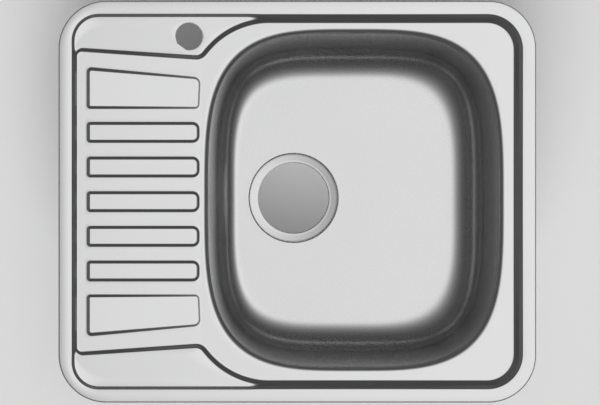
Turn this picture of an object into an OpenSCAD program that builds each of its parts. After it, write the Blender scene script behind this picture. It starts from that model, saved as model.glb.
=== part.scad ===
// Inset kitchen sink in pressed stainless sheet: one deck with a drainer, a tap ledge and a
// flanged mouth, one drawn bowl welded below the mouth, and swing clips that pull the rim down.
// Millimetres. X runs from the drainer to the bowl, Y from the front to the tap, Z up.
// The origin is the middle of the plane in which the rim lies on the worktop.

/* [Deck] */
// Length of the deck, left to right
deck_l = 580; // [570:1:600]
// Width of the deck, front to back
deck_w = 488; // [480:1:500]
// Radius of the deck's outer corners
deck_r = 58; // [48:1:66]
// Thickness of the stainless sheet
sheet = 0.8; // [0.6:0.1:1]
// Height of the rim's top above the worktop
rim_h = 3; // [2.6:0.1:4]
// Radius of the turned-down rim edge
rim_r = 2; // [1.2:0.1:2.4]
// Width of the flat rim, from the outer edge to the first step
rim_flat = 16; // [15:0.5:18]
// Corner radius of the first step beside the bowl
step_r_bowl = 43; // [36:1:48]
// Corner radius of the first step beside the drainer
step_r_drainer = 33; // [28:1:38]
// Width of the first step's slope
step_w = 4; // [3:0.5:5]
// Depth of the first step, from the rim to the ledges
step_d = 3.2; // [2.4:0.1:4]
// Width of the second step's slope round the bowl
well_w = 6.8; // [5:0.2:7.5]
// Width of the second step's slope along the drainer's front and back
well_w_drainer = 5.6; // [4.5:0.1:6.5]
// Width of the second step's slope at the drainer's left end
well_w_left = 2.2; // [1.6:0.1:3]
// Depth of the second step, from the ledges to the bowl's surround
well_d = 4.2; // [3:0.1:5]
// Radius with which the second step turns round the bowl's left corners
well_r = 102; // [90:1:108]

/* [Drainer] */
// Fall of the drainer towards the bowl, in millimetres a metre
fall = 11; // [6:1:16]
// Height of the ribs
rib_h = 2.3; // [1.6:0.1:2.6]
// Height of the end ribs at their right ends
end_rib_h = 0.9; // [0.6:0.1:1.6]
// Width of a straight rib at its foot
rib_w = 26.2; // [22:0.2:28]
// Distance from rib to rib
rib_pitch = 42.1; // [40:0.1:43]
// Number of straight ribs
rib_count = 5; // [5:1:5]
// Distance from the deck's left edge to the ribs
rib_left = 34; // [32:0.5:38]
// Width of a rib's sloping side
rib_side = 4.4; // [3:0.2:5]
// Distance between the drainer's edge and the slanted end ribs, at their left
end_gap_left = 23.4; // [22:0.1:28]
// Distance between the drainer's edge and the slanted end ribs, at their right
end_gap_right = 26.3; // [24:0.1:30]

/* [Bowl] */
// Distance from the deck's left edge to the bowl's mouth
mouth_from_left = 174.8; // [172:0.2:182]
// Distance from the deck's right edge to the bowl's mouth
mouth_from_right = 38; // [37:0.2:46]
// Distance from the deck's back edge to the bowl's mouth
mouth_from_back = 32.6; // [32:0.1:40]
// Distance from the deck's front edge to the bowl's mouth
mouth_from_front = 36.6; // [36:0.1:44]
// Squareness of the mouth's rounded corners: 2 is an ellipse
mouth_square = 3.5; // [3:0.1:4]
// Squareness of the bowl's floor
floor_square = 3.9; // [3.6:0.1:4.6]
// Radius of the mouth's rounded edge
mouth_r = 7; // [4:0.5:8]
// Depth of the bowl, from the rim's top to the floor beside the waste
bowl_depth = 160; // [140:1:190]
// Draft of the bowl's walls from upright, in degrees
draft = 6; // [4:0.5:7]
// Steepness of the bowl's left wall: its share of the other walls' spread
left_share = 0.63; // [0.55:0.01:0.8]
// Radius between the walls and the floor
floor_r = 40; // [30:1:44]
// Fall of the floor towards the waste, in millimetres a metre
floor_fall = 12; // [6:1:20]
// Depth of the weld seam below the bowl's surround
seam_d = 9.5; // [8:0.5:14]

/* [Holes] */
// Diameter of the tap hole
tap_d = 33; // [32:0.5:37]
// Distance of the tap hole's centre from the deck's left edge
tap_x = 158.3; // [154:0.5:164]
// Distance of the tap hole's centre from the deck's back edge
tap_y = 43.2; // [42:0.2:44]
// Diameter of the waste hole
waste_d = 90; // [86:0.5:92]
// Diameter of the dish round the waste hole
dish_d = 114; // [110:0.5:118]
// Depth of the dish
dish_depth = 3; // [2.5:0.5:6]
// Depth of the steep step at the dish's edge
dish_step = 1.8; // [1:0.1:2.4]
// Distance of the waste hole's centre from the mouth's left edge
waste_from_left = 110.2; // [108:0.2:118]
// Waste hole's centre, behind the mouth's centre
waste_back = 2.8; // [0:0.1:4]

/* [Seal and sound pads] */
// Width of the foam seal under the rim
seal_w = 9; // [7:0.5:10]
// Gap between the rim's edge and the seal
seal_gap = 2; // [1:0.5:3]
// Thickness of the sound pads
pad_t = 2.5; // [1.5:0.1:4]
// Glue line between a pad and the sheet
glue = 0.15; // [0.1:0.05:0.3]
// Length of the bowl's sound pad, left to right
bowl_pad_l = 100; // [80:1:110]
// Width of the bowl's sound pad, front to back
bowl_pad_w = 200; // [150:1:220]
// Length of the drainer's sound pad, left to right
drainer_pad_l = 100; // [80:1:108]
// Width of the drainer's sound pad, front to back
drainer_pad_w = 180; // [150:1:190]

/* [Clips] */
// Thickness of the worktop that the clips are stored at
worktop = 38; // [34:1:40]
// Distance of the clips' ends inside the rim's edge
clip_inset = 0.5; // [0.3:0.1:2]
// Distance from an arm's pivot to its screw
arm_reach = 17; // [16:0.5:19]
// Width of an arm
arm_w = 12; // [10:0.5:13]
// Thickness of an arm
arm_t = 3; // [2.5:0.5:4]
// Thickness of a bracket's strip
bracket_t = 1.5; // [1.2:0.1:2]
// Width of a bracket
bracket_w = 15; // [12:0.5:15]
// Length of a bracket's welded foot
foot_l = 10; // [8:0.5:11]
// Distance from an arm's pivot back to the bracket's upright
web_back = 8; // [7:0.5:9]
// Diameter of the clip screws
screw_d = 5; // [4.8:0.1:5.2]
// Feed of a clip screw above the stored height
feed_up = 10; // [8:0.5:11]
// Feed of a clip screw below the stored height
feed_down = 6; // [4:0.5:7]
// Radial clearance of turning fits
running = 0.06; // [0.03:0.01:0.09]
// Diameter of the pressure pads
tip_d = 11; // [9:0.5:11.5]
// Height of the pressure pads
tip_h = 4; // [3.5:0.1:5]
// Distance of the left clips at the front and back from the deck's left edge
clip_left = 92; // [80:1:100]
// Distance of the right clips at the front and back from the deck's right edge
clip_right = 105; // [95:1:120]

/* [Hidden] */
SIDES = ["back_left", "back_right", "front_left", "front_right",
         "left_back", "left_front", "right_back", "right_front"];

steel = "silver";
zinc = "lightsteelblue";
foam = "dimgray";
corner_steps = 8;
mouth_steps = 96;
fine = 96;
small = 48;

// Levels of the sheet's upper face
ledge_z = rim_h - step_d;
well_z = ledge_z - well_d;
floor_z = rim_h - bowl_depth;
seam_z = well_z - seam_d;

// A narrow land keeps the two steps apart where they run side by side
land = 0.6;
step_in = rim_flat + step_w;
well_in = step_in + land;
well_x = deck_l / 2 - well_in;
well_y = deck_w / 2 - well_in;

// Mouth of the bowl, and the line at which the drainer's fall ends
mouth_l = deck_l - mouth_from_left - mouth_from_right;
mouth_w = deck_w - mouth_from_back - mouth_from_front;
mouth_x = (mouth_from_left - mouth_from_right) / 2;
mouth_y = (mouth_from_front - mouth_from_back) / 2;
mouth_left = mouth_x - mouth_l / 2;
block_right = mouth_left - 1.2;
block_left = -deck_l / 2 + rib_left - 4;
rib_right_gap = 1.8;
end_right_gap = 0.4;
end_tuck = 1.7;
rib_x0 = -deck_l / 2 + rib_left;
rib_x1 = block_right - rib_right_gap;
end_x1 = block_right - end_right_gap;

// Corners of the second step's upper edge: the throat beside the bowl and the drainer's left end
throat = [mouth_left - 4.1, well_y - 45.7];
drainer_y = well_y - 35.6;

// Lines between the cells that hold one rib each, from front to back. The end ribs fill what
// the straight ones leave.
rib_gap_y = rib_pitch * rib_count / 2;
end_rib_y = rib_gap_y + (rib_pitch - rib_w) / 2 - 0.9;
end_rib_left = drainer_y - end_gap_left - end_rib_y;
end_rib_right = throat[1] - end_gap_right - end_rib_y;
end_rib_r = min(9, end_rib_right / 3);
end_rib_tight = min(6, end_rib_right / 4);
cell_end_y = end_rib_y + end_rib_left + 2.6;
cell_y = concat([-cell_end_y], [for (i = [0:rib_count]) (i - rib_count / 2) * rib_pitch], [cell_end_y]);

// Waste centre, in the deck's frame
waste = [mouth_left + waste_from_left, mouth_y + waste_back];
dish_r = dish_d / 2;
flat_r = dish_r + 7;
tap = [-deck_l / 2 + tap_x, deck_w / 2 - tap_y];

// Plane geometry
function xy(v) = [v[0], v[1]];
function unit(v) = v / norm(v);
function left_of(v) = [-v[1], v[0]];
function cross2(a, b) = a[0] * b[1] - a[1] * b[0];
function wrap(a) = a - 360 * floor(a / 360);
function bearing(p, c) = atan2(p[1] - c[1], p[0] - c[0]);
function lift(points, z) = [for (p = points) [p[0], p[1], z]];

// Arc of radius r that rounds the corner q between p and s, on either hand
function corner(p, q, s, r) =
    let (u = unit(p - q), v = unit(s - q), half = acos(u * v) / 2,
         c = q + unit(u + v) * r / sin(half),
         start = bearing(q + u * r / tan(half), c),
         turn = (180 - 2 * half) * (cross2(q - p, s - q) > 0 ? 1 : -1))
    [for (i = [0:corner_steps]) c + r * [cos(start + turn * i / corner_steps),
                                         sin(start + turn * i / corner_steps)]];

// Outline of [x, y, radius] corners, anticlockwise
function rounded(v) =
    let (n = len(v))
    [for (i = [0:n - 1]) each corner(xy(v[(i + n - 1) % n]), xy(v[i]), xy(v[(i + 1) % n]), v[i][2])];

// The same corners moved in: after[i] is the distance at corner i of the edge that leaves it,
// before[i] that of the edge that comes in
function moved_in(v, after, before) =
    let (n = len(v))
    [for (i = [0:n - 1])
        let (p = xy(v[(i + n - 1) % n]), q = xy(v[i]), s = xy(v[(i + 1) % n]),
             a = left_of(unit(q - p)), b = left_of(unit(s - q)),
             da = before[i], db = after[i], side = cross2(q - p, s - q) > 0 ? -1 : 1,
             m = q + [da * b[1] - db * a[1], db * a[0] - da * b[0]] / cross2(a, b))
        [m[0], m[1], max(0.3, v[i][2] + side * (da + db) / 2)]];

// The same corners moved in by one distance for each edge
function inset(v, d) = moved_in(v, d, [for (i = [0:len(d) - 1]) d[(i + len(d) - 1) % len(d)]]);

// Corners of a rectangle about the origin, from the back right one, anticlockwise
function box_corners(hx, hy, r_right, r_left) =
    [[hx, hy, r_right], [-hx, hy, r_left], [-hx, -hy, r_left], [hx, -hy, r_right]];
function deck_outline(d) =
    rounded(box_corners(deck_l / 2 - d, deck_w / 2 - d, deck_r - d, deck_r - d));
function step_outline(d) =
    rounded(box_corners(deck_l / 2 - rim_flat - d, deck_w / 2 - rim_flat - d,
                        step_r_bowl - d, step_r_drainer - d));

// Upper edge of the second step: it rounds the bowl, turns in at a slant and rounds the drainer
slant = 50;
throat_r = 10;
drainer_r = 9;
slant_x = throat[0] + (well_y - throat[1]) / tan(slant);
well_half = [[well_x, well_y, step_r_bowl - step_w - land], [slant_x, well_y, well_r],
             [throat[0], throat[1], throat_r], [-well_x, drainer_y, drainer_r]];
well_corners = concat(well_half, [for (i = [3:-1:0]) [well_half[i][0], -well_half[i][1], well_half[i][2]]]);
well_widths = [well_w, well_w, well_w_drainer, well_w_left, well_w_drainer, well_w, well_w, well_w];
well_top = rounded(well_corners);
well_foot = rounded(inset(well_corners, well_widths));

// Height of the drainer's floor and of the bowl's surround
function well_level(x) = well_z + fall / 1000 * max(0, block_right - x);
function on_well(points, up) = [for (p = points) [p[0], p[1], well_level(p[0]) + up]];

// Foot outline of rib i: the first and last are slanted, the others are straight
end_corners = [[end_x1, end_rib_y + end_rib_right, end_rib_r], [rib_x0, end_rib_y + end_rib_left, 6.5],
               [rib_x0, end_rib_y, 5], [end_x1 - end_tuck, end_rib_y, end_rib_tight]];
function rib_corners(i) =
    let (y0 = (i - 1 - (rib_count - 1) / 2) * rib_pitch)
    i == rib_count + 1 ? end_corners
    : i == 0 ? [for (k = [3:-1:0]) [end_corners[k][0], -end_corners[k][1], end_corners[k][2]]]
    : [[rib_x1, y0 + rib_w / 2, 9], [rib_x0, y0 + rib_w / 2, 5],
       [rib_x0, y0 - rib_w / 2, 5], [rib_x1, y0 - rib_w / 2, 9]];
function rib_foot(i) = rounded(rib_corners(i));

// Upper edge of a rib's sides. The long sides of the end ribs narrow towards the right, where
// those ribs are lower.
wide = rib_side + 0.8;
narrow = rib_side - 1;
near = rib_side - 0.2;
low_side = rib_side - 1.2;
function rib_top(i) = rounded(
    i == rib_count + 1 ? moved_in(rib_corners(i), [narrow, near, near, low_side], [low_side, wide, near, narrow])
    : i == 0 ? moved_in(rib_corners(i), [narrow, near, wide, low_side], [low_side, near, near, narrow])
    : inset(rib_corners(i), [rib_side, rib_side, rib_side, rib_side + 1]));
function rib_rise(i, x) =
    i > 0 && i <= rib_count ? rib_h : rib_h + (end_rib_h - rib_h) * (x - rib_x0) / (end_x1 - rib_x0);
function on_rib(i, points) = [for (p = points) [p[0], p[1], well_level(p[0]) + rib_rise(i, p[0])]];

// Rounded oblong of the bowl at one level. round_in is the same on all sides, wall_in is less
// at the left, and the squareness grows from the mouth to the floor.
mouth_turn = bearing(well_foot[0], [mouth_x, mouth_y]);
function square_at(z) =
    mouth_square + (floor_square - mouth_square) * min(1, max(0, (well_z - z) / (well_z - floor_z)));
function bowl_ring(round_in, wall_in, z) =
    let (a = mouth_l / 2 - round_in - wall_in * (1 + left_share) / 2,
         b = mouth_w / 2 - round_in - wall_in,
         cx = mouth_x - wall_in * (1 - left_share) / 2, n = square_at(z))
    [for (k = [0:mouth_steps - 1])
        let (t = mouth_turn + 360 * k / mouth_steps,
             r = pow(pow(abs(cos(t)) / a, n) + pow(abs(sin(t)) / b, n), -1 / n))
        [cx + r * cos(t), mouth_y + r * sin(t), z]];

// Section of the bowl: the mouth's round, the drafted wall, the round to the floor
round_end = mouth_r * cos(draft);
round_z = well_z - mouth_r * (1 - sin(draft));
turn_z = floor_z + floor_r * (1 - sin(draft));
wall_end = (round_z - turn_z) * tan(draft);
seam_in = (round_z - seam_z) * tan(draft);
floor_in = wall_end + floor_r * cos(draft);
skin = sheet / cos(draft);
round_steps = 4;
turn_steps = 8;
wall_steps = 3;

// The floor is a cone about the waste, so the foot of the wall rises with its distance
function on_floor(points, share) =
    [for (p = points) [p[0], p[1],
        p[2] + share * floor_fall / 1000 * (norm(xy(p) - waste) - flat_r)]];
function waste_ring(points, r, z) =
    [for (p = points) let (u = unit(xy(p) - waste)) [waste[0] + r * u[0], waste[1] + r * u[1], z]];

// Mesh of a sheet: rings are joined by bands, and flat pieces between unlike outlines by seams
function band(a, b, n) =
    [for (k = [0:n - 1]) let (m = (k + 1) % n) each [[a + k, a + m, b + m], [a + k, b + m, b + k]]];
function rise(v, from) = let (d = wrap(v[0] - from + 180) - 180) [for (a = v) d + wrap(a - v[0])];
function middles(u) = [for (k = [0:len(u) - 2]) (u[k] + u[k + 1]) / 2];
function before(v, x) = len([for (a = v) if (a < x) 1]);
function upto(v, x) = len([for (a = v) if (a <= x) 1]);
// o and i are index lists of an outer and an inner line that run the same way, u and v their
// bearings from a point that both lines go round, counted from the start of the outer line
function seam(o, u, i, v) =
    let (mo = middles(u), mi = middles(v))
    concat([for (k = [0:len(o) - 2]) [o[k], o[k + 1], i[before(mi, mo[k])]]],
           [for (j = [0:len(i) - 2]) [i[j + 1], i[j], o[upto(mo, mi[j])]]]);
function seam_about(o, po, i, pi, c) =
    let (u = [for (p = po) bearing(p, c)], v = [for (p = pi) bearing(p, c)])
    seam(o, rise(u, u[0]), i, rise(v, u[0]));
function closed(o, po, i, pi, c) =
    let (u = [for (p = po) bearing(p, c)], v = [for (p = pi) bearing(p, c)],
         ru = rise(u, u[0]), rv = rise(v, u[0]))
    seam(concat(o, [o[0]]), concat(ru, [ru[0] + 360]), concat(i, [i[0]]), concat(rv, [rv[0] + 360]));
function run(start, n) = [for (k = [0:n - 1]) start + k];
function flip(faces) = [for (f = faces) [f[2], f[1], f[0]]];
function edge_wall(a, n, shift) =
    [for (k = [0:n - 1]) let (m = (k + 1) % n)
        each [[a + m, a + k, a + k + shift], [a + m, a + k + shift, a + m + shift]]];

// Closed sheet from its upper points, its lower points in the same order and its upper faces.
// first and last are the starts of its outer and inner edge rings.
module sheet_solid(upper, lower, faces, first, first_n, last, last_n) {
    n = len(upper);
    walls = concat(edge_wall(first, first_n, n), flip(edge_wall(last, last_n, n)));
    under = [for (f = flip(faces)) [f[0] + n, f[1] + n, f[2] + n]];
    polyhedron(points = concat(upper, lower), faces = flip(concat(faces, under, walls)), convexity = 10);
}

// Rings of the deck, from the rim's edge to the seam
rim_angles = [for (i = [0:3]) 30 * i];
round_angles = [for (i = [0:round_steps]) (90 - draft) * i / round_steps];
rim_upper = concat([lift(deck_outline(0), 0)],
    [for (a = rim_angles) lift(deck_outline(rim_r * (1 - cos(a))), rim_h - rim_r * (1 - sin(a)))]);
rim_lower = concat([lift(deck_outline(sheet), 0)],
    [for (a = rim_angles) lift(deck_outline(rim_r - (rim_r - sheet) * cos(a)),
                               rim_h - rim_r + (rim_r - sheet) * sin(a))]);
mouth_upper = concat(
    [for (a = round_angles) bowl_ring(mouth_r * sin(a), 0, well_z - mouth_r * (1 - cos(a)))],
    [bowl_ring(round_end, seam_in, seam_z)]);
mouth_lower = concat(
    [for (a = round_angles) bowl_ring((mouth_r - sheet) * sin(a), 0,
                                      well_z - mouth_r + (mouth_r - sheet) * cos(a))],
    [bowl_ring(round_end - skin, seam_in, seam_z)]);
flat_rings = concat([lift(step_outline(0), rim_h), lift(step_outline(step_w), ledge_z),
                     lift(well_top, ledge_z), on_well(well_foot, 0),
                     [for (y = cell_y) [block_left, y, well_level(block_left)]],
                     [for (y = cell_y) [block_right, y, well_level(block_right)]]],
                    [for (i = [0:rib_count + 1]) each [on_well(rib_foot(i), 0), on_rib(i, rib_top(i))]]);

module deck() {
    four = 4 * (corner_steps + 1);
    eight = 2 * four;
    cells = rib_count + 2;
    upper = concat([for (r = rim_upper) each r], [for (r = flat_rings) each r], [for (r = mouth_upper) each r]);
    lower = concat([for (r = rim_lower) each r], [for (r = flat_rings) each [for (p = r) p - [0, 0, sheet]]],
                   [for (r = mouth_lower) each r]);
    rims = len(rim_upper);
    step = rims * four;
    step_foot = step + four;
    well = step_foot + four;
    foot = well + eight;
    left = foot + eight;
    right = left + cells + 1;
    ribs = right + cells + 1;
    mouth = ribs + 2 * cells * four;
    mouths = len(mouth_upper);
    // The sheet between the drainer and the bowl is divided where the throats turn
    cut = 2 * (corner_steps + 1) + corner_steps / 2;
    back = eight - 1 - cut;
    left_line = [for (k = [cut:back]) foot + k];
    left_points = [for (k = [cut:back]) well_foot[k]];
    frame = concat([right + cells], [for (j = [cells:-1:0]) left + j], [right]);
    frame_points = concat([[block_right, cell_y[cells]]], [for (j = [cells:-1:0]) [block_left, cell_y[j]]],
                          [[block_right, cell_y[0]]]);
    middle = [(block_left + block_right) / 2, 0];
    around = concat([for (k = [0:cut]) foot + k], [for (j = [cells:-1:0]) right + j],
                    [for (k = [back:eight - 1]) foot + k]);
    around_points = concat([for (k = [0:cut]) well_foot[k]], [for (j = [cells:-1:0]) [block_right, cell_y[j]]],
                           [for (k = [back:eight - 1]) well_foot[k]]);
    faces = concat(
        [for (k = [0:rims - 1]) each band(k * four, (k + 1) * four, four)],
        band(step, step_foot, four),
        closed(run(step_foot, four), step_outline(step_w), run(well, eight), well_top, [0, 0]),
        band(well, foot, eight),
        seam_about(left_line, left_points, frame, frame_points, middle),
        closed(around, around_points, run(mouth, mouth_steps), mouth_upper[0], [mouth_x, mouth_y]),
        [for (i = [0:cells - 1])
            let (a = ribs + 2 * i * four, b = a + four,
                 corners = [right + i + 1, left + i + 1, left + i, right + i],
                 at = [[block_right, cell_y[i + 1]], [block_left, cell_y[i + 1]],
                       [block_left, cell_y[i]], [block_right, cell_y[i]]],
                 c = [(rib_x0 + rib_x1) / 2, (cell_y[i] + cell_y[i + 1]) / 2])
            each concat(closed(corners, at, run(a, four), rib_foot(i), c), band(a, b, four),
                        [for (k = [1:four - 2]) [b, b + k, b + k + 1]])],
        [for (k = [0:mouths - 2]) each band(mouth + k * mouth_steps, mouth + (k + 1) * mouth_steps, mouth_steps)]);
    color(steel) difference() {
        sheet_solid(upper, lower, faces, 0, four, mouth + (mouths - 1) * mouth_steps, mouth_steps);
        translate([tap[0], tap[1], ledge_z - 3]) cylinder(d = tap_d, h = 6, $fn = fine);
    }
}

// Rings of the bowl from the seam to the flat round the dish
turn_angles = [for (i = [0:turn_steps]) (90 - draft) * (1 - i / turn_steps)];
module bowl() {
    wall_z = [for (i = [0:wall_steps - 1]) seam_z + (turn_z - seam_z) * i / wall_steps];
    turned = [for (a = turn_angles)
        on_floor(bowl_ring(round_end, floor_in - floor_r * sin(a), floor_z + floor_r * (1 - cos(a))),
                 1 - a / (90 - draft))];
    turned_out = [for (a = turn_angles)
        on_floor(bowl_ring(round_end, floor_in - (floor_r + sheet) * sin(a),
                           floor_z + floor_r - (floor_r + sheet) * cos(a)), 1 - a / (90 - draft))];
    last = turned[turn_steps];
    inner = concat([for (z = wall_z) bowl_ring(round_end, (round_z - z) * tan(draft), z)], turned,
                   [waste_ring(last, flat_r, floor_z), waste_ring(last, dish_r + 1.5, floor_z)]);
    outer = concat([for (z = wall_z) bowl_ring(round_end - skin, (round_z - z) * tan(draft), z)], turned_out,
                   [waste_ring(last, flat_r, floor_z - sheet), waste_ring(last, dish_r + 1.5, floor_z - sheet)]);
    rings = len(inner);
    color(steel) union() {
        sheet_solid([for (r = inner) each r], [for (r = outer) each r],
                    [for (k = [0:rings - 2]) each band(k * mouth_steps, (k + 1) * mouth_steps, mouth_steps)],
                    0, mouth_steps, (rings - 1) * mouth_steps, mouth_steps);
        translate([waste[0], waste[1], floor_z]) waste_dish();
    }
}

// Dish for the waste's flange: a steep step, a shallow cone and a narrow land with the true bore
module waste_dish() {
    step_x = 1.3;
    hole_r = waste_d / 2;
    land_r = hole_r + 1.5;
    steep = atan(dish_step / step_x);
    cone = atan((dish_depth - dish_step) / (dish_r - step_x - land_r));
    upper = [[dish_r + 3, 0], [dish_r, 0], [dish_r - step_x, -dish_step], [land_r, -dish_depth], [hole_r, -dish_depth]];
    lower = [[hole_r, -dish_depth - sheet], under(upper[3], cone, 0), under(upper[2], steep, cone),
             under(upper[1], 0, steep), [dish_r + 3, -sheet]];
    rotate_extrude($fn = fine) polygon(concat(upper, lower));
}

// Point of the sheet's lower face under the bend q, where the section's slope goes from a to b
function under(q, a, b) = q + sheet / cos((a - b) / 2) * [sin((a + b) / 2), -cos((a + b) / 2)];

// Foam strip under the rim, from which the sink stands on the worktop
module rim_seal() {
    color(foam) linear_extrude(rim_h - sheet) difference() {
        polygon(deck_outline(sheet + seal_gap));
        polygon(deck_outline(sheet + seal_gap + seal_w));
    }
}

// Pad under the floor: a cone like the floor's, cut to a rectangle with rounded corners
module bowl_sound_pad() {
    near = flat_r + 4;
    far = near + bowl_pad_l * 2;
    top = floor_z - sheet - glue;
    color(foam) intersection() {
        translate([waste[0], waste[1], top]) rotate_extrude($fn = fine)
            polygon([[near - 3, (near - 3 - flat_r) * floor_fall / 1000], [far, (far - flat_r) * floor_fall / 1000],
                     [far, (far - flat_r) * floor_fall / 1000 - pad_t],
                     [near - 3, (near - 3 - flat_r) * floor_fall / 1000 - pad_t]]);
        translate([waste[0] + near + bowl_pad_l / 2, mouth_y, top - 10]) linear_extrude(20)
            polygon(rounded(box_corners(bowl_pad_l / 2, bowl_pad_w / 2, 12, 12)));
    }
}

// Pad under the drainer, sloping with it
module drainer_sound_pad() {
    slope = atan(fall / 1000);
    middle = (rib_x0 + rib_x1) / 2;
    color(foam) translate([middle, 0, well_level(middle) - sheet - glue]) rotate([0, slope, 0])
        translate([0, 0, -pad_t]) linear_extrude(pad_t)
            polygon(rounded(box_corners(drainer_pad_l / 2, drainer_pad_w / 2, 10, 10)));
}

// Clips. Each place is [x, y, bearing of the outward side, height of the sheet's underside, swing].
pivot_in = clip_inset + tip_d / 2 + arm_reach;
function clip_place(i) =
    let (hx = deck_l / 2, hy = deck_w / 2, low = well_z - sheet,
         inner_x = hx - pivot_in, left_z = well_level(-inner_x + web_back + foot_l) - sheet)
    [[-hx + clip_left, hy - pivot_in, 90, ledge_z - sheet], [hx - clip_right, hy - pivot_in, 90, low],
     [-hx + clip_left, -hy + pivot_in, -90, ledge_z - sheet], [hx - clip_right, -hy + pivot_in, -90, low],
     [-inner_x, rib_gap_y, 180, left_z], [-inner_x, -rib_gap_y, 180, left_z],
     [inner_x, rib_gap_y, 0, low], [inner_x, -rib_gap_y, 0, low]][i];
module at_clip(i) {
    place = clip_place(i);
    translate([place[0], place[1], 0]) rotate(place[2]) children();
}

// Heights of a clip, from the worktop's underside down
arm_top = -worktop - feed_down - tip_h - 1;
tab_low = arm_top + 0.1;
tab_top = tab_low + bracket_t;
arm_low = arm_top - arm_t;
head_top = arm_low - feed_up - 0.5;
rivet_r = 2.5;
socket_r = 1.6;
socket_h = 2.5;
bend_r = 1.5;

// Strip with one round end, from x0 to its centre at x1
module tongue(x0, x1, w) {
    translate([x0, -w / 2]) square([x1 - x0, w]);
    translate([x1, 0]) circle(d = w, $fn = small);
}

// Bent strip: a welded foot, an upright and a tab that carries the rivet
module clip_bracket(i) {
    top = clip_place(i)[3];
    x0 = -web_back - bracket_t;
    color(zinc) at_clip(i) difference() {
        union() {
            translate([x0 - foot_l + bracket_t, -bracket_w / 2, top - bracket_t])
                cube([foot_l - bend_r, bracket_w, bracket_t]);
            translate([x0, -bracket_w / 2, tab_low + bend_r + bracket_t])
                cube([bracket_t, bracket_w, top - tab_low - 2 * (bend_r + bracket_t)]);
            translate([x0 - bend_r, bracket_w / 2, top - bend_r - bracket_t]) rotate([90, 0, 0])
                linear_extrude(bracket_w) bend();
            translate([x0 + bend_r + bracket_t, bracket_w / 2, tab_low + bend_r + bracket_t]) rotate([90, 180, 0])
                linear_extrude(bracket_w) bend();
            translate([0, 0, tab_low]) linear_extrude(bracket_t)
                tongue(x0 + bend_r + bracket_t, 0.5, bracket_w);
        }
        translate([0, 0, tab_low - 1]) cylinder(r = rivet_r + running, h = bracket_t + 2, $fn = small);
    }
}

// Quarter of a ring: the bend between two runs of a strip
module bend() {
    difference() {
        intersection() {
            circle(r = bend_r + bracket_t, $fn = small);
            square(bend_r + bracket_t);
        }
        circle(r = bend_r, $fn = small);
    }
}

// Rivet on which the arm swings
module clip_rivet(i) {
    shank = tab_top - arm_low + 0.2;
    color(zinc) at_clip(i) translate([0, 0, arm_low - 0.1]) {
        translate([0, 0, -1.4]) cylinder(r1 = 3.4, r2 = 4.4, h = 1.4, $fn = small);
        cylinder(r = rivet_r, h = shank, $fn = small);
        translate([0, 0, shank]) cylinder(r1 = 4.4, r2 = 3.2, h = 1.2, $fn = small);
    }
}

// Arm with a plain eye for the rivet and a tapped eye for the screw
module clip_arm(i) {
    color(zinc) at_clip(i) translate([0, 0, arm_low]) difference() {
        linear_extrude(arm_t) union() {
            circle(d = arm_w, $fn = small);
            tongue(0, arm_reach, arm_w);
        }
        translate([0, 0, -1]) cylinder(r = rivet_r + running, h = arm_t + 2, $fn = small);
        translate([arm_reach, 0, -1]) cylinder(d = screw_d + 2 * running, h = arm_t + 2, $fn = small);
    }
}

// Screw with a slotted hexagon head and a dog point that turns in the pressure pad
module clip_screw(i) {
    head_h = 3.5;
    color(zinc) at_clip(i) translate([arm_reach, 0, 0]) difference() {
        union() {
            translate([0, 0, head_top - head_h]) cylinder(d = 8.8, h = head_h, $fn = 6);
            translate([0, 0, head_top]) cylinder(d = screw_d, h = -worktop - tip_h - 0.1 - head_top, $fn = small);
            translate([0, 0, -worktop - tip_h - 0.5])
                cylinder(r = socket_r - running, h = socket_h + 0.3, $fn = small);
        }
        translate([-5, -0.6, head_top - head_h - 1]) cube([10, 1.2, 2.2]);
    }
}

// Pressure pad that bears on the worktop's underside and doesn't turn with the screw
module clip_tip(i) {
    color("black") at_clip(i) translate([arm_reach, 0, -worktop - tip_h]) difference() {
        union() {
            cylinder(d1 = tip_d - 2.4, d2 = tip_d, h = 1.6, $fn = small);
            translate([0, 0, 1.6]) cylinder(d = tip_d, h = tip_h - 1.6, $fn = small);
        }
        translate([0, 0, -1]) cylinder(r = socket_r, h = socket_h + 1, $fn = small);
    }
}

// Earth connection, welded under the front of the bowl's surround
tag_y = -deck_w / 2 + well_in + well_w + 7;
tag_t = 1.2;
tag_w = 12;
tag_foot = 11;
tag_gap = 3;
tag_reach = (mouth_y - (tag_y + tag_foot + tag_gap)) / (mouth_w / 2);
tag_x = mouth_x - mouth_l / 2 * pow(1 - pow(tag_reach, mouth_square), 1 / mouth_square);
tag_drop = 15;
tag_hole = 4.3;
tag_top = well_z - sheet;
bolt_z = tag_top - tag_drop + 5.5;

module earth_tag() {
    color(steel) translate([tag_x, tag_y, 0]) difference() {
        union() {
            translate([-tag_w / 2, 0, tag_top - tag_t]) cube([tag_w, tag_foot, tag_t]);
            translate([-tag_w / 2, 0, tag_top - tag_drop]) cube([tag_w, tag_t, tag_drop]);
        }
        translate([0, -1, bolt_z]) rotate([-90, 0, 0]) cylinder(d = tag_hole, h = tag_t + 2, $fn = small);
    }
}

module earth_screw() {
    color("goldenrod") translate([tag_x, tag_y - 0.9, bolt_z]) rotate([-90, 0, 0]) difference() {
        union() {
            translate([0, 0, -3]) cylinder(d1 = 6, d2 = 7.4, h = 3, $fn = small);
            cylinder(d = 4, h = 10, $fn = small);
        }
        translate([-4, -0.5, -4]) cube([8, 1, 2.2]);
    }
}

module earth_washer() {
    color(zinc) translate([tag_x, tag_y - 0.85, bolt_z]) rotate([-90, 0, 0]) difference() {
        cylinder(d = 8, h = 0.8, $fn = small);
        translate([0, 0, -1]) cylinder(d = tag_hole, h = 3, $fn = small);
    }
}

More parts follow.
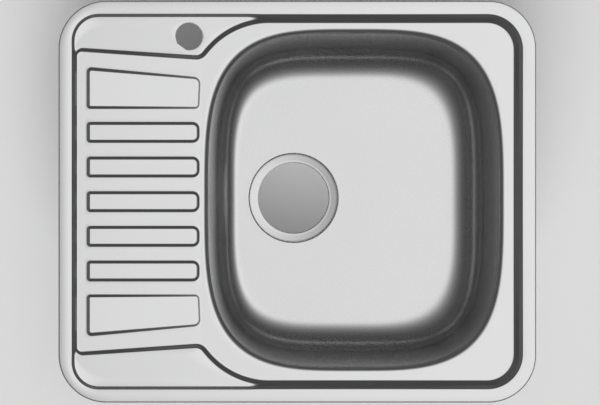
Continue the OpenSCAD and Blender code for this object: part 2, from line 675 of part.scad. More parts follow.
module earth_nut() {
    color("goldenrod") translate([tag_x, tag_y + tag_t + 0.05, bolt_z]) rotate([-90, 0, 0]) difference() {
        cylinder(d = 8.1, h = 3.2, $fn = 6);
        translate([0, 0, -1]) cylinder(d = 4.12, h = 6, $fn = small);
    }
}

deck();
bowl();
rim_seal();
bowl_sound_pad();
drainer_sound_pad();
earth_tag();
earth_screw();
earth_washer();
earth_nut();
for (i = [0:len(SIDES) - 1]) {
    clip_bracket(i);
    clip_rivet(i);
    clip_arm(i);
    clip_screw(i);
    clip_tip(i);
}
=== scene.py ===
"""Looks of an inset kitchen sink in pressed stainless sheet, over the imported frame.

Lengths are millimetres while a surface is worked out, and become metres in the mesh. X runs from
the drainer to the bowl, Y from the front to the tap hole, Z up out of the worktop.
"""

from __future__ import annotations

import logging
import math
from dataclasses import dataclass, field, replace
from enum import Enum
from typing import Callable, Mapping, Sequence, Union

import bmesh
import bpy
import numpy as np
from mathutils import Matrix, Vector

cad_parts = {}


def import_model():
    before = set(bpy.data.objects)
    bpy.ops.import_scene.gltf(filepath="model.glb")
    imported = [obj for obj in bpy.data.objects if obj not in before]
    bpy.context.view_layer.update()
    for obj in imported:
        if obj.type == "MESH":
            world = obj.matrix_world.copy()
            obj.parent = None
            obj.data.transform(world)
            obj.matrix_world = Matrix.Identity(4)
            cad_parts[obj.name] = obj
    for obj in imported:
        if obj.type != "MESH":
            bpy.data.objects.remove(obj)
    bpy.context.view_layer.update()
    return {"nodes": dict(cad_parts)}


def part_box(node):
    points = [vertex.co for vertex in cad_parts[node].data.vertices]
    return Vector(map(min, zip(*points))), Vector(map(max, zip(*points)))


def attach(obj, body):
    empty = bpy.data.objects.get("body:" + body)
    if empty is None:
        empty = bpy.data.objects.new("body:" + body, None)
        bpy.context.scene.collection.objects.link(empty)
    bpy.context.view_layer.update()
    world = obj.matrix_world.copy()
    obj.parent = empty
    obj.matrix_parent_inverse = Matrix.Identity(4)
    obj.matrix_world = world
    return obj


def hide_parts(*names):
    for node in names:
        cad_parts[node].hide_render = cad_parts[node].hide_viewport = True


log = logging.getLogger("sink")
Array = np.ndarray
MM = 0.001
# Distance in metres under which two points of a mesh are one
WELD = 2e-6
# Angles in degrees: an edge below the first is flat, one above the second can be rounded
FLAT, SHARP = 1, 28
# Angles in degrees above which an edge stays crisp: on sheet and foam, on small parts, on pads
CREASE, FINE_CREASE, PAD_CREASE = 38.0, 32.0, 60.0


# Plane geometry


def unit(v: Array) -> Array:
    """Rows of v, each divided by its length."""
    return v / np.linalg.norm(v, axis=-1, keepdims=True)


def cross2(a: Array, b: Array) -> Array:
    """The plane cross product of each row of a with the same row of b."""
    return a[..., 0] * b[..., 1] - a[..., 1] * b[..., 0]


def ramp(share: Array, start: float = 0.22, end: float = 0.22) -> Array:
    """Height of a pressed slope, from 0 to 1 as share goes from 0 to 1.

    The slope's steepness grows linearly over the first part, stays the same, and falls off
    linearly over the last part; the height is its integral, divided by the integral's end.

    Args:
        share: places across the slope, 0 to 1.
        start: part of the width in which the steepness grows.
        end: part of the width in which it falls off.

    Returns:
        Heights, 0 to 1.
    """
    t = np.clip(share, 0.0, 1.0)
    total = 1.0 - start / 2 - end / 2
    low = t**2 / (2 * start)
    middle = t - start / 2
    high = total - (1 - t) ** 2 / (2 * end)
    return np.where(t < start, low, np.where(t > 1 - end, high, middle)) / total


def raised(points: Array, z: Array | float) -> Array:
    """Plane points with the height z as their third coordinate."""
    heights = np.broadcast_to(np.asarray(z, float), points.shape[:-1])
    return np.concatenate([points, heights[..., None]], axis=-1)


def joined(runs: Sequence[Array]) -> Array:
    """Runs of rows put end to end, each of which starts at the row where the last one ends."""
    return np.concatenate([runs[0]] + [run[1:] for run in runs[1:]])


@dataclass(frozen=True)
class Outline:
    """Closed outline, anticlockwise, of straight edges whose corners are rounded by arcs.

    The parameter s runs from 0 to twice the number of corners: arc i covers 2i to 2i + 1, and the
    straight edge after it covers 2i + 1 to 2i + 2.
    """

    corners: Array
    least: float = 0.3
    samples: int = 12001

    def _sides(self) -> tuple[Array, Array, Array]:
        """Corner points, and those before and after each."""
        p = self.corners[:, :2]
        return np.roll(p, 1, axis=0), p, np.roll(p, -1, axis=0)

    def at(self, s: Array) -> Array:
        """Points at the parameters s.

        On an arc that is centre + radius in the direction start + turn * share, and on a straight
        edge a share of the way between two arcs.

        Args:
            s: parameters: 2 * i starts the arc at corner i, and 2 * i + 1 the edge after it.

        Returns:
            As many plane points.
        """
        before, p, after = self._sides()
        u, v, r = unit(before - p), unit(after - p), self.corners[:, 2]
        half = np.arccos(np.clip((u * v).sum(1), -1, 1)) / 2
        centre = p + unit(u + v) * (r / np.sin(half))[:, None]
        first = p + u * (r / np.tan(half))[:, None] - centre
        start = np.arctan2(first[:, 1], first[:, 0])
        turn = (np.pi - 2 * half) * np.where(cross2(p - before, after - p) > 0, 1, -1)
        s = np.mod(s, 2 * len(p))
        i = np.minimum((s // 2).astype(int), len(p) - 1)
        f = s - 2 * i
        angle = start[i] + turn[i] * np.minimum(f, 1)
        on_arc = centre[i] + r[i, None] * np.stack([np.cos(angle), np.sin(angle)], -1)
        j = (i + 1) % len(p)
        ahead = centre[j] + r[j, None] * np.stack([np.cos(start[j]), np.sin(start[j])], -1)
        return on_arc + np.clip(f - 1, 0, 1)[:, None] * (ahead - on_arc)

    def inset(self, after: Sequence[float], before: Sequence[float] | None = None) -> Outline:
        """The outline with its edges moved in.

        Args:
            after: for each corner, the distance there of the edge that leaves it.
            before: the distance there of the edge that comes in. Left out, an edge has one
                distance all along.

        Returns:
            The inner outline; each corner's radius shrinks by the mean of its two distances.
        """
        last, p, ahead = self._sides()
        left = lambda v: np.stack([-v[:, 1], v[:, 0]], -1)
        a, b = left(unit(p - last)), left(unit(ahead - p))
        db = np.asarray(after, float)
        da = np.roll(db, 1) if before is None else np.asarray(before, float)
        shift = np.stack([da * b[:, 1] - db * a[:, 1], db * a[:, 0] - da * b[:, 0]], -1)
        side = np.where(cross2(p - last, ahead - p) > 0, -1, 1)
        moved = p + shift / cross2(a, b)[:, None]
        radii = np.maximum(self.corners[:, 2] + side * (da + db) / 2, self.least)
        return Outline(np.column_stack([moved, radii]))

    def toward(self, bearings: Array, centre: Array) -> Array:
        """Points where rays from the centre at the bearings, in radians, cross the outline.

        Args:
            bearings: bearings of the rays.
            centre: point where they start.

        Returns:
            As many plane points.
        """
        s = np.linspace(0, 2 * len(self.corners), self.samples)
        d = self.at(s[:-1]) - centre
        turn = np.unwrap(np.arctan2(d[:, 1], d[:, 0]))
        turn = np.append(turn, turn[0] + 2 * np.pi)
        wanted = turn[0] + np.mod(bearings - turn[0], 2 * np.pi)
        return self.at(np.interp(wanted, turn, s))


def box_outline(hx: float, hy: float, right: float, left: float) -> Outline:
    """Rectangle about the origin with its corner radii at the right and at the left."""
    return Outline(np.array([[hx, hy, right], [-hx, hy, left], [-hx, -hy, left], [hx, -hy, right]]))


def stretch(corner: int, first: int, middles: int, last: int) -> Array:
    """Parameters from the middle of one corner's arc to the middle of the next one's.

    Args:
        corner: number of the first corner.
        first: steps on its half arc.
        middles: steps on the straight edge.
        last: steps on the next corner's half arc.

    Returns:
        first + middles + last + 1 parameters.
    """
    s = 2 * corner
    return joined([
        np.linspace(s + 0.5, s + 1, first + 1),
        np.linspace(s + 1, s + 2, middles + 1),
        np.linspace(s + 2, s + 2.5, last + 1),
    ])


# Meshes


def weld(mesh: bpy.types.Mesh) -> None:
    """Merge a mesh's doubled points and drop its faces of no width.

    Args:
        mesh: mesh to clean, changed in place.
    """
    shape = bmesh.new()
    shape.from_mesh(mesh)
    bmesh.ops.remove_doubles(shape, verts=shape.verts, dist=WELD)
    bmesh.ops.dissolve_degenerate(shape, edges=shape.edges, dist=WELD / 2)
    shape.to_mesh(mesh)
    shape.free()


def linked(name: str, data: bpy.types.ID) -> bpy.types.Object:
    """New object of the data, put into the scene.

    Args:
        name: the object's name.
        data: what it shows, such as a mesh.

    Returns:
        The new object.
    """
    made = bpy.data.objects.new(name, data)
    bpy.context.scene.collection.objects.link(made)
    return made


@dataclass
class Patchwork:
    """Grids of points that are welded into one surface."""

    points: list[Array] = field(default_factory=list)
    faces: list[Array] = field(default_factory=list)
    caps: list[list[int]] = field(default_factory=list)
    count: int = 0

    def loft(self, rings: Sequence[Array], closed: bool) -> None:
        """Add the surface through rings that run anticlockwise, from the outer one to the inner.

        Args:
            rings: rings of points, all with the same number.
            closed: whether the last column joins the first.
        """
        grid = np.stack(rings)
        rows, columns = grid.shape[:2]
        k = np.arange(columns if closed else columns - 1)
        start = self.count + (np.arange(rows - 1) * columns)[:, None]
        a, b = start + k, start + (k + 1) % columns
        self.faces.append(np.stack([a, b, b + columns, a + columns], -1).reshape(-1, 4))
        self.points.append(grid.reshape(-1, 3))
        self.count += rows * columns

    def cap(self, ring: Array) -> None:
        """Close a flat ring with one face.

        Args:
            ring: points of the ring, in the face's order.
        """
        self.caps.append(list(range(self.count, self.count + len(ring))))
        self.points.append(ring)
        self.count += len(ring)

    def close(self, rings: Sequence[Array]) -> None:
        """Add the closed solid through rings that run round it, with a face at both ends.

        Args:
            rings: rings of points, from one end to the other.
        """
        self.loft(rings, True)
        self.cap(rings[0][::-1])
        self.cap(rings[-1])

    def build(self, name: str) -> bpy.types.Object:
        """Weld the patches and put them into a new object of that name at the origin.

        Args:
            name: name of the object and its mesh.

        Returns:
            The new object.
        """
        co = np.concatenate(self.points) * MM
        mesh = bpy.data.meshes.new(name)
        mesh.from_pydata(co.tolist(), [], np.concatenate(self.faces).tolist() + self.caps)
        weld(mesh)
        return linked(name, mesh)


def settle(piece: bpy.types.Object, crease: float = CREASE) -> bpy.types.Object:
    """Take the modifiers' result into the mesh, smooth its faces and keep its edges crisp.

    Args:
        piece: object, with or without modifiers.
        crease: angle in degrees above which an edge stays sharp.

    Returns:
        The same object.
    """
    graph = bpy.context.evaluated_depsgraph_get()
    mesh = bpy.data.meshes.new_from_object(piece.evaluated_get(graph), depsgraph=graph)
    if piece.modifiers:
        weld(mesh)
    piece.modifiers.clear()
    old, piece.data = piece.data, mesh
    mesh.name = piece.name
    bpy.data.meshes.remove(old)
    mesh.polygons.foreach_set("use_smooth", np.ones(len(mesh.polygons), bool))
    mesh.set_sharp_from_angle(angle=math.radians(crease))
    return piece


def thicken(piece: bpy.types.Object, thickness: float) -> bpy.types.Object:
    """Give a surface the sheet's thickness behind its faces.

    Args:
        piece: object of the surface.
        thickness: thickness in millimetres.

    Returns:
        The finished object.
    """
    wall = piece.modifiers.new("sheet", "SOLIDIFY")
    wall.thickness = thickness * MM
    wall.offset = -1.0
    wall.use_even_offset = True
    return settle(piece)


# Sizes


@dataclass(frozen=True)
class SinkSizes:
    """Sizes of the pressings and half sizes of the pads, the same as the solid model's."""

    # Rim and first step
    deck_l: float = 580.0
    deck_w: float = 488.0
    deck_r: float = 58.0
    sheet: float = 0.8
    rim_h: float = 3.0
    rim_r: float = 2.0
    rim_flat: float = 16.0
    step_r_bowl: float = 43.0
    step_r_drainer: float = 33.0
    step_w: float = 4.0
    step_d: float = 3.2
    land: float = 0.6
    # Second step: width of its slope after each corner, its corners, and its slant in degrees
    well_widths: tuple[float, ...] = (6.8, 6.8, 5.6, 2.2, 5.6, 6.8, 6.8, 6.8)
    well_d: float = 4.2
    well_r: float = 102.0
    throat_r: float = 10.0
    throat_left: float = 4.1
    throat_in: float = 45.7
    drainer_r: float = 9.0
    drainer_in: float = 35.6
    slant: float = 50.0
    # Drainer's fall, then the ribs: heights, sizes, and places of the block, cells and end ribs
    fall: float = 0.011
    rib_h: float = 2.3
    end_rib_h: float = 0.9
    rib_w: float = 26.2
    rib_pitch: float = 42.1
    rib_count: int = 5
    rib_left: float = 34.0
    rib_r_left: float = 5.0
    rib_r_right: float = 9.0
    block_left: float = 4.0
    block_right: float = 1.2
    cell_gap: float = 2.6
    rib_side: float = 4.4
    rib_side_right: float = 5.4
    rib_right: float = 1.8
    end_rib_right: float = 0.4
    end_rib_tuck: float = 1.7
    end_rib_shift: float = 0.9
    end_gap_left: float = 23.4
    end_gap_right: float = 26.3
    end_r_left: float = 6.5
    end_r_right: float = 6.0
    end_side_wide: float = 5.2
    end_side_narrow: float = 3.4
    end_side_left: float = 4.2
    end_side_right: float = 3.2
    # Mouth and bowl, the glue over the pads, and the seam between the bowl and the deck
    mouth_l: float = 367.2
    mouth_w: float = 418.8
    mouth_x: float = 68.4
    mouth_y: float = 2.0
    mouth_square: float = 3.5
    floor_square: float = 3.9
    mouth_r: float = 7.0
    bowl_depth: float = 160.0
    draft: float = math.radians(6)
    left_share: float = 0.63
    floor_r: float = 40.0
    floor_fall: float = 0.012
    glue: float = 0.15
    seam_d: float = 9.5
    # Tap hole, waste hole, the dish round it and the flat round that
    tap_r: float = 16.5
    tap: tuple[float, float] = (-131.7, 200.8)
    waste: tuple[float, float] = (-5.0, 4.8)
    waste_r: float = 45.0
    dish_r: float = 57.0
    flat_w: float = 7.0
    dish_depth: float = 3.0
    dish_step: float = 1.8
    # Sound pads: half sizes, corners, and how far the middle of the bowl's is from the flat
    bowl_pad: tuple[float, float] = (50, 100)
    bowl_pad_r: float = 12
    bowl_pad_off: float = 54
    drainer_pad: tuple[float, float] = (50, 90)
    drainer_pad_r: float = 10

    @property
    def ledge_z(self) -> float:
        """Level of the ledges."""
        return self.rim_h - self.step_d

    @property
    def well_z(self) -> float:
        """Level of the bowl's surround."""
        return self.ledge_z - self.well_d

    @property
    def floor_z(self) -> float:
        """Level of the floor beside the dish."""
        return self.rim_h - self.bowl_depth

    @property
    def seam_z(self) -> float:
        """Level of the seam between deck and bowl."""
        return self.well_z - self.seam_d

    @property
    def round_z(self) -> float:
        """Level at which the mouth's round meets the drafted wall."""
        return self.well_z - self.mouth_r * (1 - math.sin(self.draft))

    @property
    def round_in(self) -> float:
        """Distance inside the mouth at which its round meets the drafted wall."""
        return self.mouth_r * math.cos(self.draft)

    @property
    def flat_r(self) -> float:
        """Radius at which the flat round the dish meets the sloping floor."""
        return self.dish_r + self.flat_w

    @property
    def well_x(self) -> float:
        """Half length of the second step's upper edge."""
        return self.deck_l / 2 - self.rim_flat - self.step_w - self.land

    @property
    def well_y(self) -> float:
        """Half width of the second step's upper edge beside the bowl."""
        return self.deck_w / 2 - self.rim_flat - self.step_w - self.land

    @property
    def mouth_left(self) -> float:
        """Left edge of the mouth."""
        return self.mouth_x - self.mouth_l / 2

    @property
    def block_x(self) -> tuple[float, float]:
        """Left and right edge of the block of ribs."""
        left = -self.deck_l / 2 + self.rib_left - self.block_left
        return left, self.mouth_left - self.block_right

    @property
    def throat(self) -> tuple[float, float]:
        """Corner at which the second step turns in beside the bowl."""
        return self.mouth_left - self.throat_left, self.well_y - self.throat_in

    @property
    def drainer_y(self) -> float:
        """Half width of the second step's upper edge at the drainer's left end."""
        return self.well_y - self.drainer_in

    @property
    def end_rib(self) -> tuple[float, float, float]:
        """Inner edge of an end rib, and its widths at the left and the right.

        Returns:
            The three sizes, in millimetres.
        """
        half_block = self.rib_pitch * self.rib_count / 2
        inner = half_block + (self.rib_pitch - self.rib_w) / 2 - self.end_rib_shift
        left = self.drainer_y - self.end_gap_left - inner
        return inner, left, self.throat[1] - self.end_gap_right - inner

    @property
    def cell_y(self) -> Array:
        """Lines between the cells that hold one rib each, from front to back.

        Returns:
            Their places in Y.
        """
        inner, left, _ = self.end_rib
        end = inner + left + self.cell_gap
        gaps = (np.arange(self.rib_count + 1) - self.rib_count / 2) * self.rib_pitch
        return np.concatenate([[-end], gaps, [end]])

    def deck_outline(self, d: float) -> Outline:
        """The rim's outline, moved in by d."""
        r = self.deck_r - d
        return box_outline(self.deck_l / 2 - d, self.deck_w / 2 - d, r, r)

    def step_outline(self, d: float) -> Outline:
        """The first step's upper edge, moved in by d."""
        hx, hy = self.deck_l / 2 - self.rim_flat - d, self.deck_w / 2 - self.rim_flat - d
        return box_outline(hx, hy, self.step_r_bowl - d, self.step_r_drainer - d)

    def well_outline(self) -> Outline:
        """The second step's upper edge: round the bowl, in at a slant, round the drainer.

        Returns:
            Its outline.
        """
        tx, ty = self.throat
        slant_x = tx + (self.well_y - ty) / math.tan(math.radians(self.slant))
        half = [
            [self.well_x, self.well_y, self.step_r_bowl - self.step_w - self.land],
            [slant_x, self.well_y, self.well_r],
            [tx, ty, self.throat_r],
            [-self.well_x, self.drainer_y, self.drainer_r],
        ]
        return Outline(np.array(half + [[x, -y, r] for x, y, r in reversed(half)]))

    def rib_outline(self, i: int) -> Outline:
        """Foot of rib i: the first and last are slanted, the others straight.

        Args:
            i: number of the rib, from the front.

        Returns:
            The foot's outline.
        """
        x0, x1 = -self.deck_l / 2 + self.rib_left, self.block_x[1] - self.rib_right
        inner, left, right = self.end_rib
        if 0 < i <= self.rib_count:
            y = (i - 1 - (self.rib_count - 1) / 2) * self.rib_pitch
            h = self.rib_w / 2
            r0, r1 = self.rib_r_left, self.rib_r_right
            return Outline(np.array([
                [x1, y + h, r1], [x0, y + h, r0], [x0, y - h, r0], [x1, y - h, r1]]))
        x1 = self.block_x[1] - self.end_rib_right
        back = [
            [x1, inner + right, self.rib_r_right], [x0, inner + left, self.end_r_left],
            [x0, inner, self.rib_r_left], [x1 - self.end_rib_tuck, inner, self.end_r_right],
        ]
        if i > 0:
            return Outline(np.array(back))
        return Outline(np.array([[x, -y, r] for x, y, r in reversed(back)]))

    def rib_top(self, i: int, more: float = 0.0) -> Outline:
        """Upper edge of rib i's sides, moved in by more.

        The end ribs' long sides narrow towards the right: a corner's two edges have their own
        distances there.

        Args:
            i: number of the rib, from the front.
            more: further distance inwards.

        Returns:
            The edge's outline.
        """
        if 0 < i <= self.rib_count:
            side = self.rib_side + more
            return self.rib_outline(i).inset([side, side, side, self.rib_side_right + more])
        wide, narrow, left, right = (w + more for w in (
            self.end_side_wide, self.end_side_narrow, self.end_side_left, self.end_side_right))
        foot = self.rib_outline(i)
        if i > 0:
            return foot.inset([narrow, left, left, right], [right, wide, left, narrow])
        return foot.inset([narrow, left, wide, right], [right, left, left, narrow])

    def rib_rise(self, i: int, x: Array) -> Array:
        """Height of rib i at x: the end ribs fall off linearly towards the right.

        Args:
            i: number of the rib, from the front.
            x: places in X.

        Returns:
            A height for each x.
        """
        if 0 < i <= self.rib_count:
            return np.full_like(x, self.rib_h)
        left, right = -self.deck_l / 2 + self.rib_left, self.block_x[1] - self.end_rib_right
        return self.rib_h + (self.end_rib_h - self.rib_h) * (x - left) / (right - left)

    def level(self, x: Array) -> Array:
        """Height of the drainer's floor and of the bowl's surround at x."""
        return self.well_z + self.fall * np.maximum(0.0, self.block_x[1] - x)

    def bowl_ring(self, bearings: Array, round_in: float, wall_in: float, z: float) -> Array:
        """Rounded oblong of the bowl at one level.

        It is a superellipse: (|cos| / a)^n + (|sin| / b)^n = r^-n, whose squareness n grows from
        the mouth to the floor. round_in is the same on all sides, wall_in is less at the left.

        Args:
            bearings: directions of its points from the mouth's centre, in radians.
            round_in: distance inside the mouth on all sides.
            wall_in: further distance inside at the right, the front and the back.
            z: level.

        Returns:
            Points of the ring.
        """
        a = self.mouth_l / 2 - round_in - wall_in * (1 + self.left_share) / 2
        b = self.mouth_w / 2 - round_in - wall_in
        cx = self.mouth_x - wall_in * (1 - self.left_share) / 2
        down = np.clip((self.well_z - z) / (self.well_z - self.floor_z), 0, 1)
        n = self.mouth_square + (self.floor_square - self.mouth_square) * down
        c, s = np.cos(bearings), np.sin(bearings)
        r = ((np.abs(c) / a) ** n + (np.abs(s) / b) ** n) ** (-1 / n)
        return np.stack([cx + r * c, self.mouth_y + r * s, np.full_like(r, z)], -1)


# The pressed deck


@dataclass
class DeckSheet:
    """The deck: rim, two steps, ledges, ribbed drainer and the flanged mouth."""

    sizes: SinkSizes
    work: Patchwork = field(default_factory=Patchwork)
    # Columns: their spacing, steps on each half arc of the second step, and its throats' numbers
    spacing: float = 4.0
    corner_halves: tuple[int, ...] = (9, 12, 4, 5, 5, 4, 12, 9)
    back_throat: int = 2
    front_throat: int = 5
    # A rib's cell: steps on a half arc and across it, and the length of short steps at its ends
    rib_halves: int = 4
    rib_across: int = 6
    end_run: float = 6.0
    # Rows of each surface
    slope_rows: int = 10
    flat_rows: int = 4
    rim_rows: int = 7
    mouth_rows: int = 9
    collar_rows: int = 3
    # Ledge width under which the two steps begin to run together, and the span until they have
    merge_gap: float = 3.6
    merge_span: float = 2.6
    merge_ease: tuple[float, float] = (0.16, 0.12)
    # Patch round the tap hole, in hole radii, shares of its rings, and the drop of the hole's edge
    tap_margin: float = 1.28
    tap_shares: tuple[float, ...] = (0.0, 0.4, 0.75, 0.95, 1.0)
    tap_lip: float = 0.12
    # Eased share of a rib's side, how much more of it at the top's right, and rings on the top
    rib_ease: float = 0.22
    rib_ease_more: float = 0.4
    rib_top_in: tuple[float, ...] = (0.4, 1.2)

    def rib_along(self) -> int:
        """Number of steps along the straight part of the block of ribs."""
        left, right = self.sizes.block_x
        return round((right - left) / self.spacing)

    def block_steps(self, length: float, middles: int) -> Array:
        """Distances along one side of a rib's cell, in short even steps at both ends.

        Args:
            length: distance covered.
            middles: number of long even steps between.

        Returns:
            2 * rib_halves + middles + 1 distances.
        """
        end, halves = self.end_run, self.rib_halves
        return joined([
            np.linspace(0, end, halves + 1),
            np.linspace(end, length - end, middles + 1),
            np.linspace(length - end, length, halves + 1),
        ])

    def cell_side_y(self, i: int) -> Array:
        """Heights in Y along a side of cell i, from back to front."""
        y = self.sizes.cell_y
        return y[i + 1] - self.block_steps(y[i + 1] - y[i], self.rib_across)

    def block_x_line(self) -> Array:
        """Places in X along the block, from right to left."""
        left, right = self.sizes.block_x
        return right - self.block_steps(right - left, self.rib_along())

    def block_y_line(self) -> Array:
        """Places in Y along the block's left and right sides, from back to front."""
        cells = reversed(range(len(self.sizes.cell_y) - 1))
        return joined([self.cell_side_y(i) for i in cells])

    def bowl_columns(self, foot: Outline) -> Array:
        """Parameters on the second step from the front throat, round the bowl, to the back one.

        Args:
            foot: the second step's lower edge.

        Returns:
            The parameters, one for each column.
        """
        halves, count = self.corner_halves, len(foot.corners)
        arcs = 2.0 * np.arange(count)
        lengths = np.linalg.norm(foot.at(arcs + 2) - foot.at(arcs + 1), axis=1)
        parts = []
        for k in range(self.front_throat, count + self.back_throat):
            i, j = k % count, (k + 1) % count
            middles = max(2, round(lengths[i] / self.spacing))
            parts.append(stretch(k, halves[i], middles, halves[j]))
        return joined(parts)

    def drainer_columns(self, foot: Outline) -> tuple[Array, Array]:
        """Parameters on the second step round the drainer, and the block's points facing them.

        Args:
            foot: the second step's lower edge.

        Returns:
            Parameters from the back throat to the front one, and as many plane points.
        """
        x, y = self.block_x_line(), self.block_y_line()
        m = self.rib_halves
        back = stretch(self.back_throat, m, len(x) - 1 - 2 * m, m)
        share = (y[m] - y[m:-m]) / (y[m] - y[-m - 1])
        arc = 2 * (self.back_throat + 1)
        left = np.concatenate([
            np.linspace(arc + 0.5, arc + 1, m + 1)[:-1],
            arc + 1 + share,
            np.linspace(arc + 2, arc + 2.5, m + 1)[1:],
        ])
        front = 2 * len(foot.corners) - 1 - back[::-1]
        end, block_left = self.sizes.cell_y[-1], self.sizes.block_x[0]
        line = joined([
            np.stack([x, np.full_like(x, end)], -1),
            np.stack([np.full_like(y, block_left), y], -1),
            np.stack([x[::-1], np.full_like(x, -end)], -1),
        ])
        return joined([back, left, front]), line

    def on_level(self, points: Array, up: float = 0.0) -> Array:
        """Plane points put on the drainer's and surround's floor, and up from it."""
        return raised(points, self.sizes.level(points[..., 0]) + up)

    def strip(self, start: Array, end: Array, rows: int, closed: bool) -> None:
        """Loft the flat between two lines of the floor, in rows at even shares of the way."""
        shares = np.linspace(0, 1, rows + 1)
        self.work.loft([self.on_level(start + t * (end - start)) for t in shares], closed)

    def rim_and_steps(self, s: Array, top: Outline, foot: Outline) -> None:
        """Rim, first step, ledges and second step, on columns that all look at the bowl.

        Where the ledge between the steps narrows to nothing, both run together into one slope:
        its height falls with the share of the whole width that is crossed.

        Args:
            s: parameters of the columns on the second step, once round.
            top: the second step's upper edge.
            foot: its lower edge.
        """
        z = self.sizes
        centre = np.array([z.mouth_x, 0.0])
        d = top.at(s) - centre
        bearings = np.arctan2(d[:, 1], d[:, 0])
        rim = [raised(z.deck_outline(0).toward(bearings, centre), 0.0)]
        for angle in np.radians(np.linspace(0, 90, self.rim_rows + 1)):
            ring = z.deck_outline(z.rim_r * (1 - math.cos(angle))).toward(bearings, centre)
            rim.append(raised(ring, z.rim_h - z.rim_r * (1 - math.sin(angle))))
        step_top = z.step_outline(0).toward(bearings, centre)
        step_foot = z.step_outline(z.step_w).toward(bearings, centre)
        rim.append((rim[-1] + raised(step_top, z.rim_h)) / 2)
        share = np.linspace(0, 1, self.slope_rows + 1)[:, None]
        well_top, well_foot = top.at(s), foot.at(s)
        flat = np.linspace(0, 1, self.flat_rows + 1)[1:-1, None, None]
        lines = np.concatenate([
            step_top + share[..., None] * (step_foot - step_top),
            step_foot + flat * (well_top - step_foot),
            well_top + share[..., None] * (well_foot - well_top),
        ])
        heights = np.concatenate([
            z.rim_h - z.step_d * ramp(share) + 0 * bearings,
            np.full((len(flat), len(s)), z.ledge_z),
            z.ledge_z + ramp(share) * (z.level(well_foot[:, 0]) - z.ledge_z),
        ])
        crossed = np.linalg.norm(lines - lines[0], axis=-1)
        fallen = ramp(crossed / crossed[-1], *self.merge_ease)
        together = z.rim_h + fallen * (z.level(well_foot[:, 0]) - z.rim_h)
        gap = np.linalg.norm(well_top - step_foot, axis=-1)
        merged = ramp((self.merge_gap - gap) / self.merge_span, 0.5, 0.5)
        heights += merged * (together - heights)
        grid = raised(lines, heights)
        low, high = self.slope_rows, self.slope_rows + self.flat_rows
        self.work.loft(rim + [grid[0]], True)
        self.work.loft(list(grid[: low + 1]), True)
        self.ledges(grid[low : high + 1])
        self.work.loft(list(grid[high:]), True)

    def ledges(self, grid: Array) -> None:
        """The flat between the steps, with the tap hole.

        A run of columns round the hole is left out of the flat, and its border is joined to the
        hole's circle by rings between the two.

        Args:
            grid: rows of points from the first step's foot to the second step's top.
        """
        z = self.sizes
        tap = np.array(z.tap)
        hub = tap - (z.mouth_x, 0.0)
        off = np.arctan2(grid[0, :, 1], grid[0, :, 0] - z.mouth_x) - math.atan2(hub[1], hub[0])
        inside = np.flatnonzero(np.abs(off) < self.tap_margin * z.tap_r / math.hypot(*hub))
        first, last = inside[0], inside[-1]
        around = np.roll(grid, -last, axis=1)
        kept = grid.shape[1] - (last - first)
        self.work.loft(list(around[:, : kept + 1]), False)
        hole = grid[:, first : last + 1]
        border = np.concatenate([hole[0, :-1], hole[:-1, -1], hole[-1, :0:-1], hole[:0:-1, 0]])
        d = border[:, :2] - tap
        angle = np.arctan2(d[:, 1], d[:, 0])
        circle = tap + z.tap_r * np.stack([np.cos(angle), np.sin(angle)], -1)
        start = border[:, :2]
        rings = [raised(start + t * (circle - start), z.ledge_z) for t in self.tap_shares]
        rings[-1] = raised(circle, z.ledge_z - self.tap_lip)
        self.work.loft(rings, True)

    def surround(self, s: Array, line: Array, round_s: Array, foot: Outline) -> Array:
        """The flats round the bowl and the drainer, inside the second step.

        Args:
            s: parameters of the columns round the drainer.
            line: the block's points that face them.
            round_s: parameters of the columns round the bowl.
            foot: the second step's lower edge.

        Returns:
            Bearings of the mouth's columns from its centre, in radians, once round.
        """
        z = self.sizes
        rows = self.flat_rows
        self.strip(foot.at(s), line, rows, False)
        centre = np.array([z.mouth_x, z.mouth_y])
        edge = foot.at(round_s)
        turn = np.unwrap(np.arctan2(*(edge - centre).T[::-1]))
        ends = line[-1] - centre, line[0] - centre
        first, last = (math.atan2(e[1], e[0]) for e in ends)
        turn = first + (turn - turn[0]) * (last - first) / (turn[-1] - turn[0])
        mouth = z.bowl_ring(turn, 0, 0, z.well_z)[:, :2]
        part = np.linalg.norm(edge[-1] - line[0]) / np.linalg.norm(edge[-1] - mouth[-1])
        middle = edge + part * (mouth - edge)
        middle[0], middle[-1] = line[-1], line[0]
        self.strip(edge, middle, rows, False)
        self.strip(middle, mouth, rows, False)
        y = self.block_y_line()
        right = np.stack([np.full_like(y, z.block_x[1]), y], -1)
        facing = np.mod(np.arctan2(*(right - centre).T[::-1]), 2 * np.pi)
        lip = z.bowl_ring(facing, 0, 0, z.well_z)[:, :2]
        self.strip(right, lip, rows, False)
        return np.concatenate([turn[:-1], facing[:-1]])

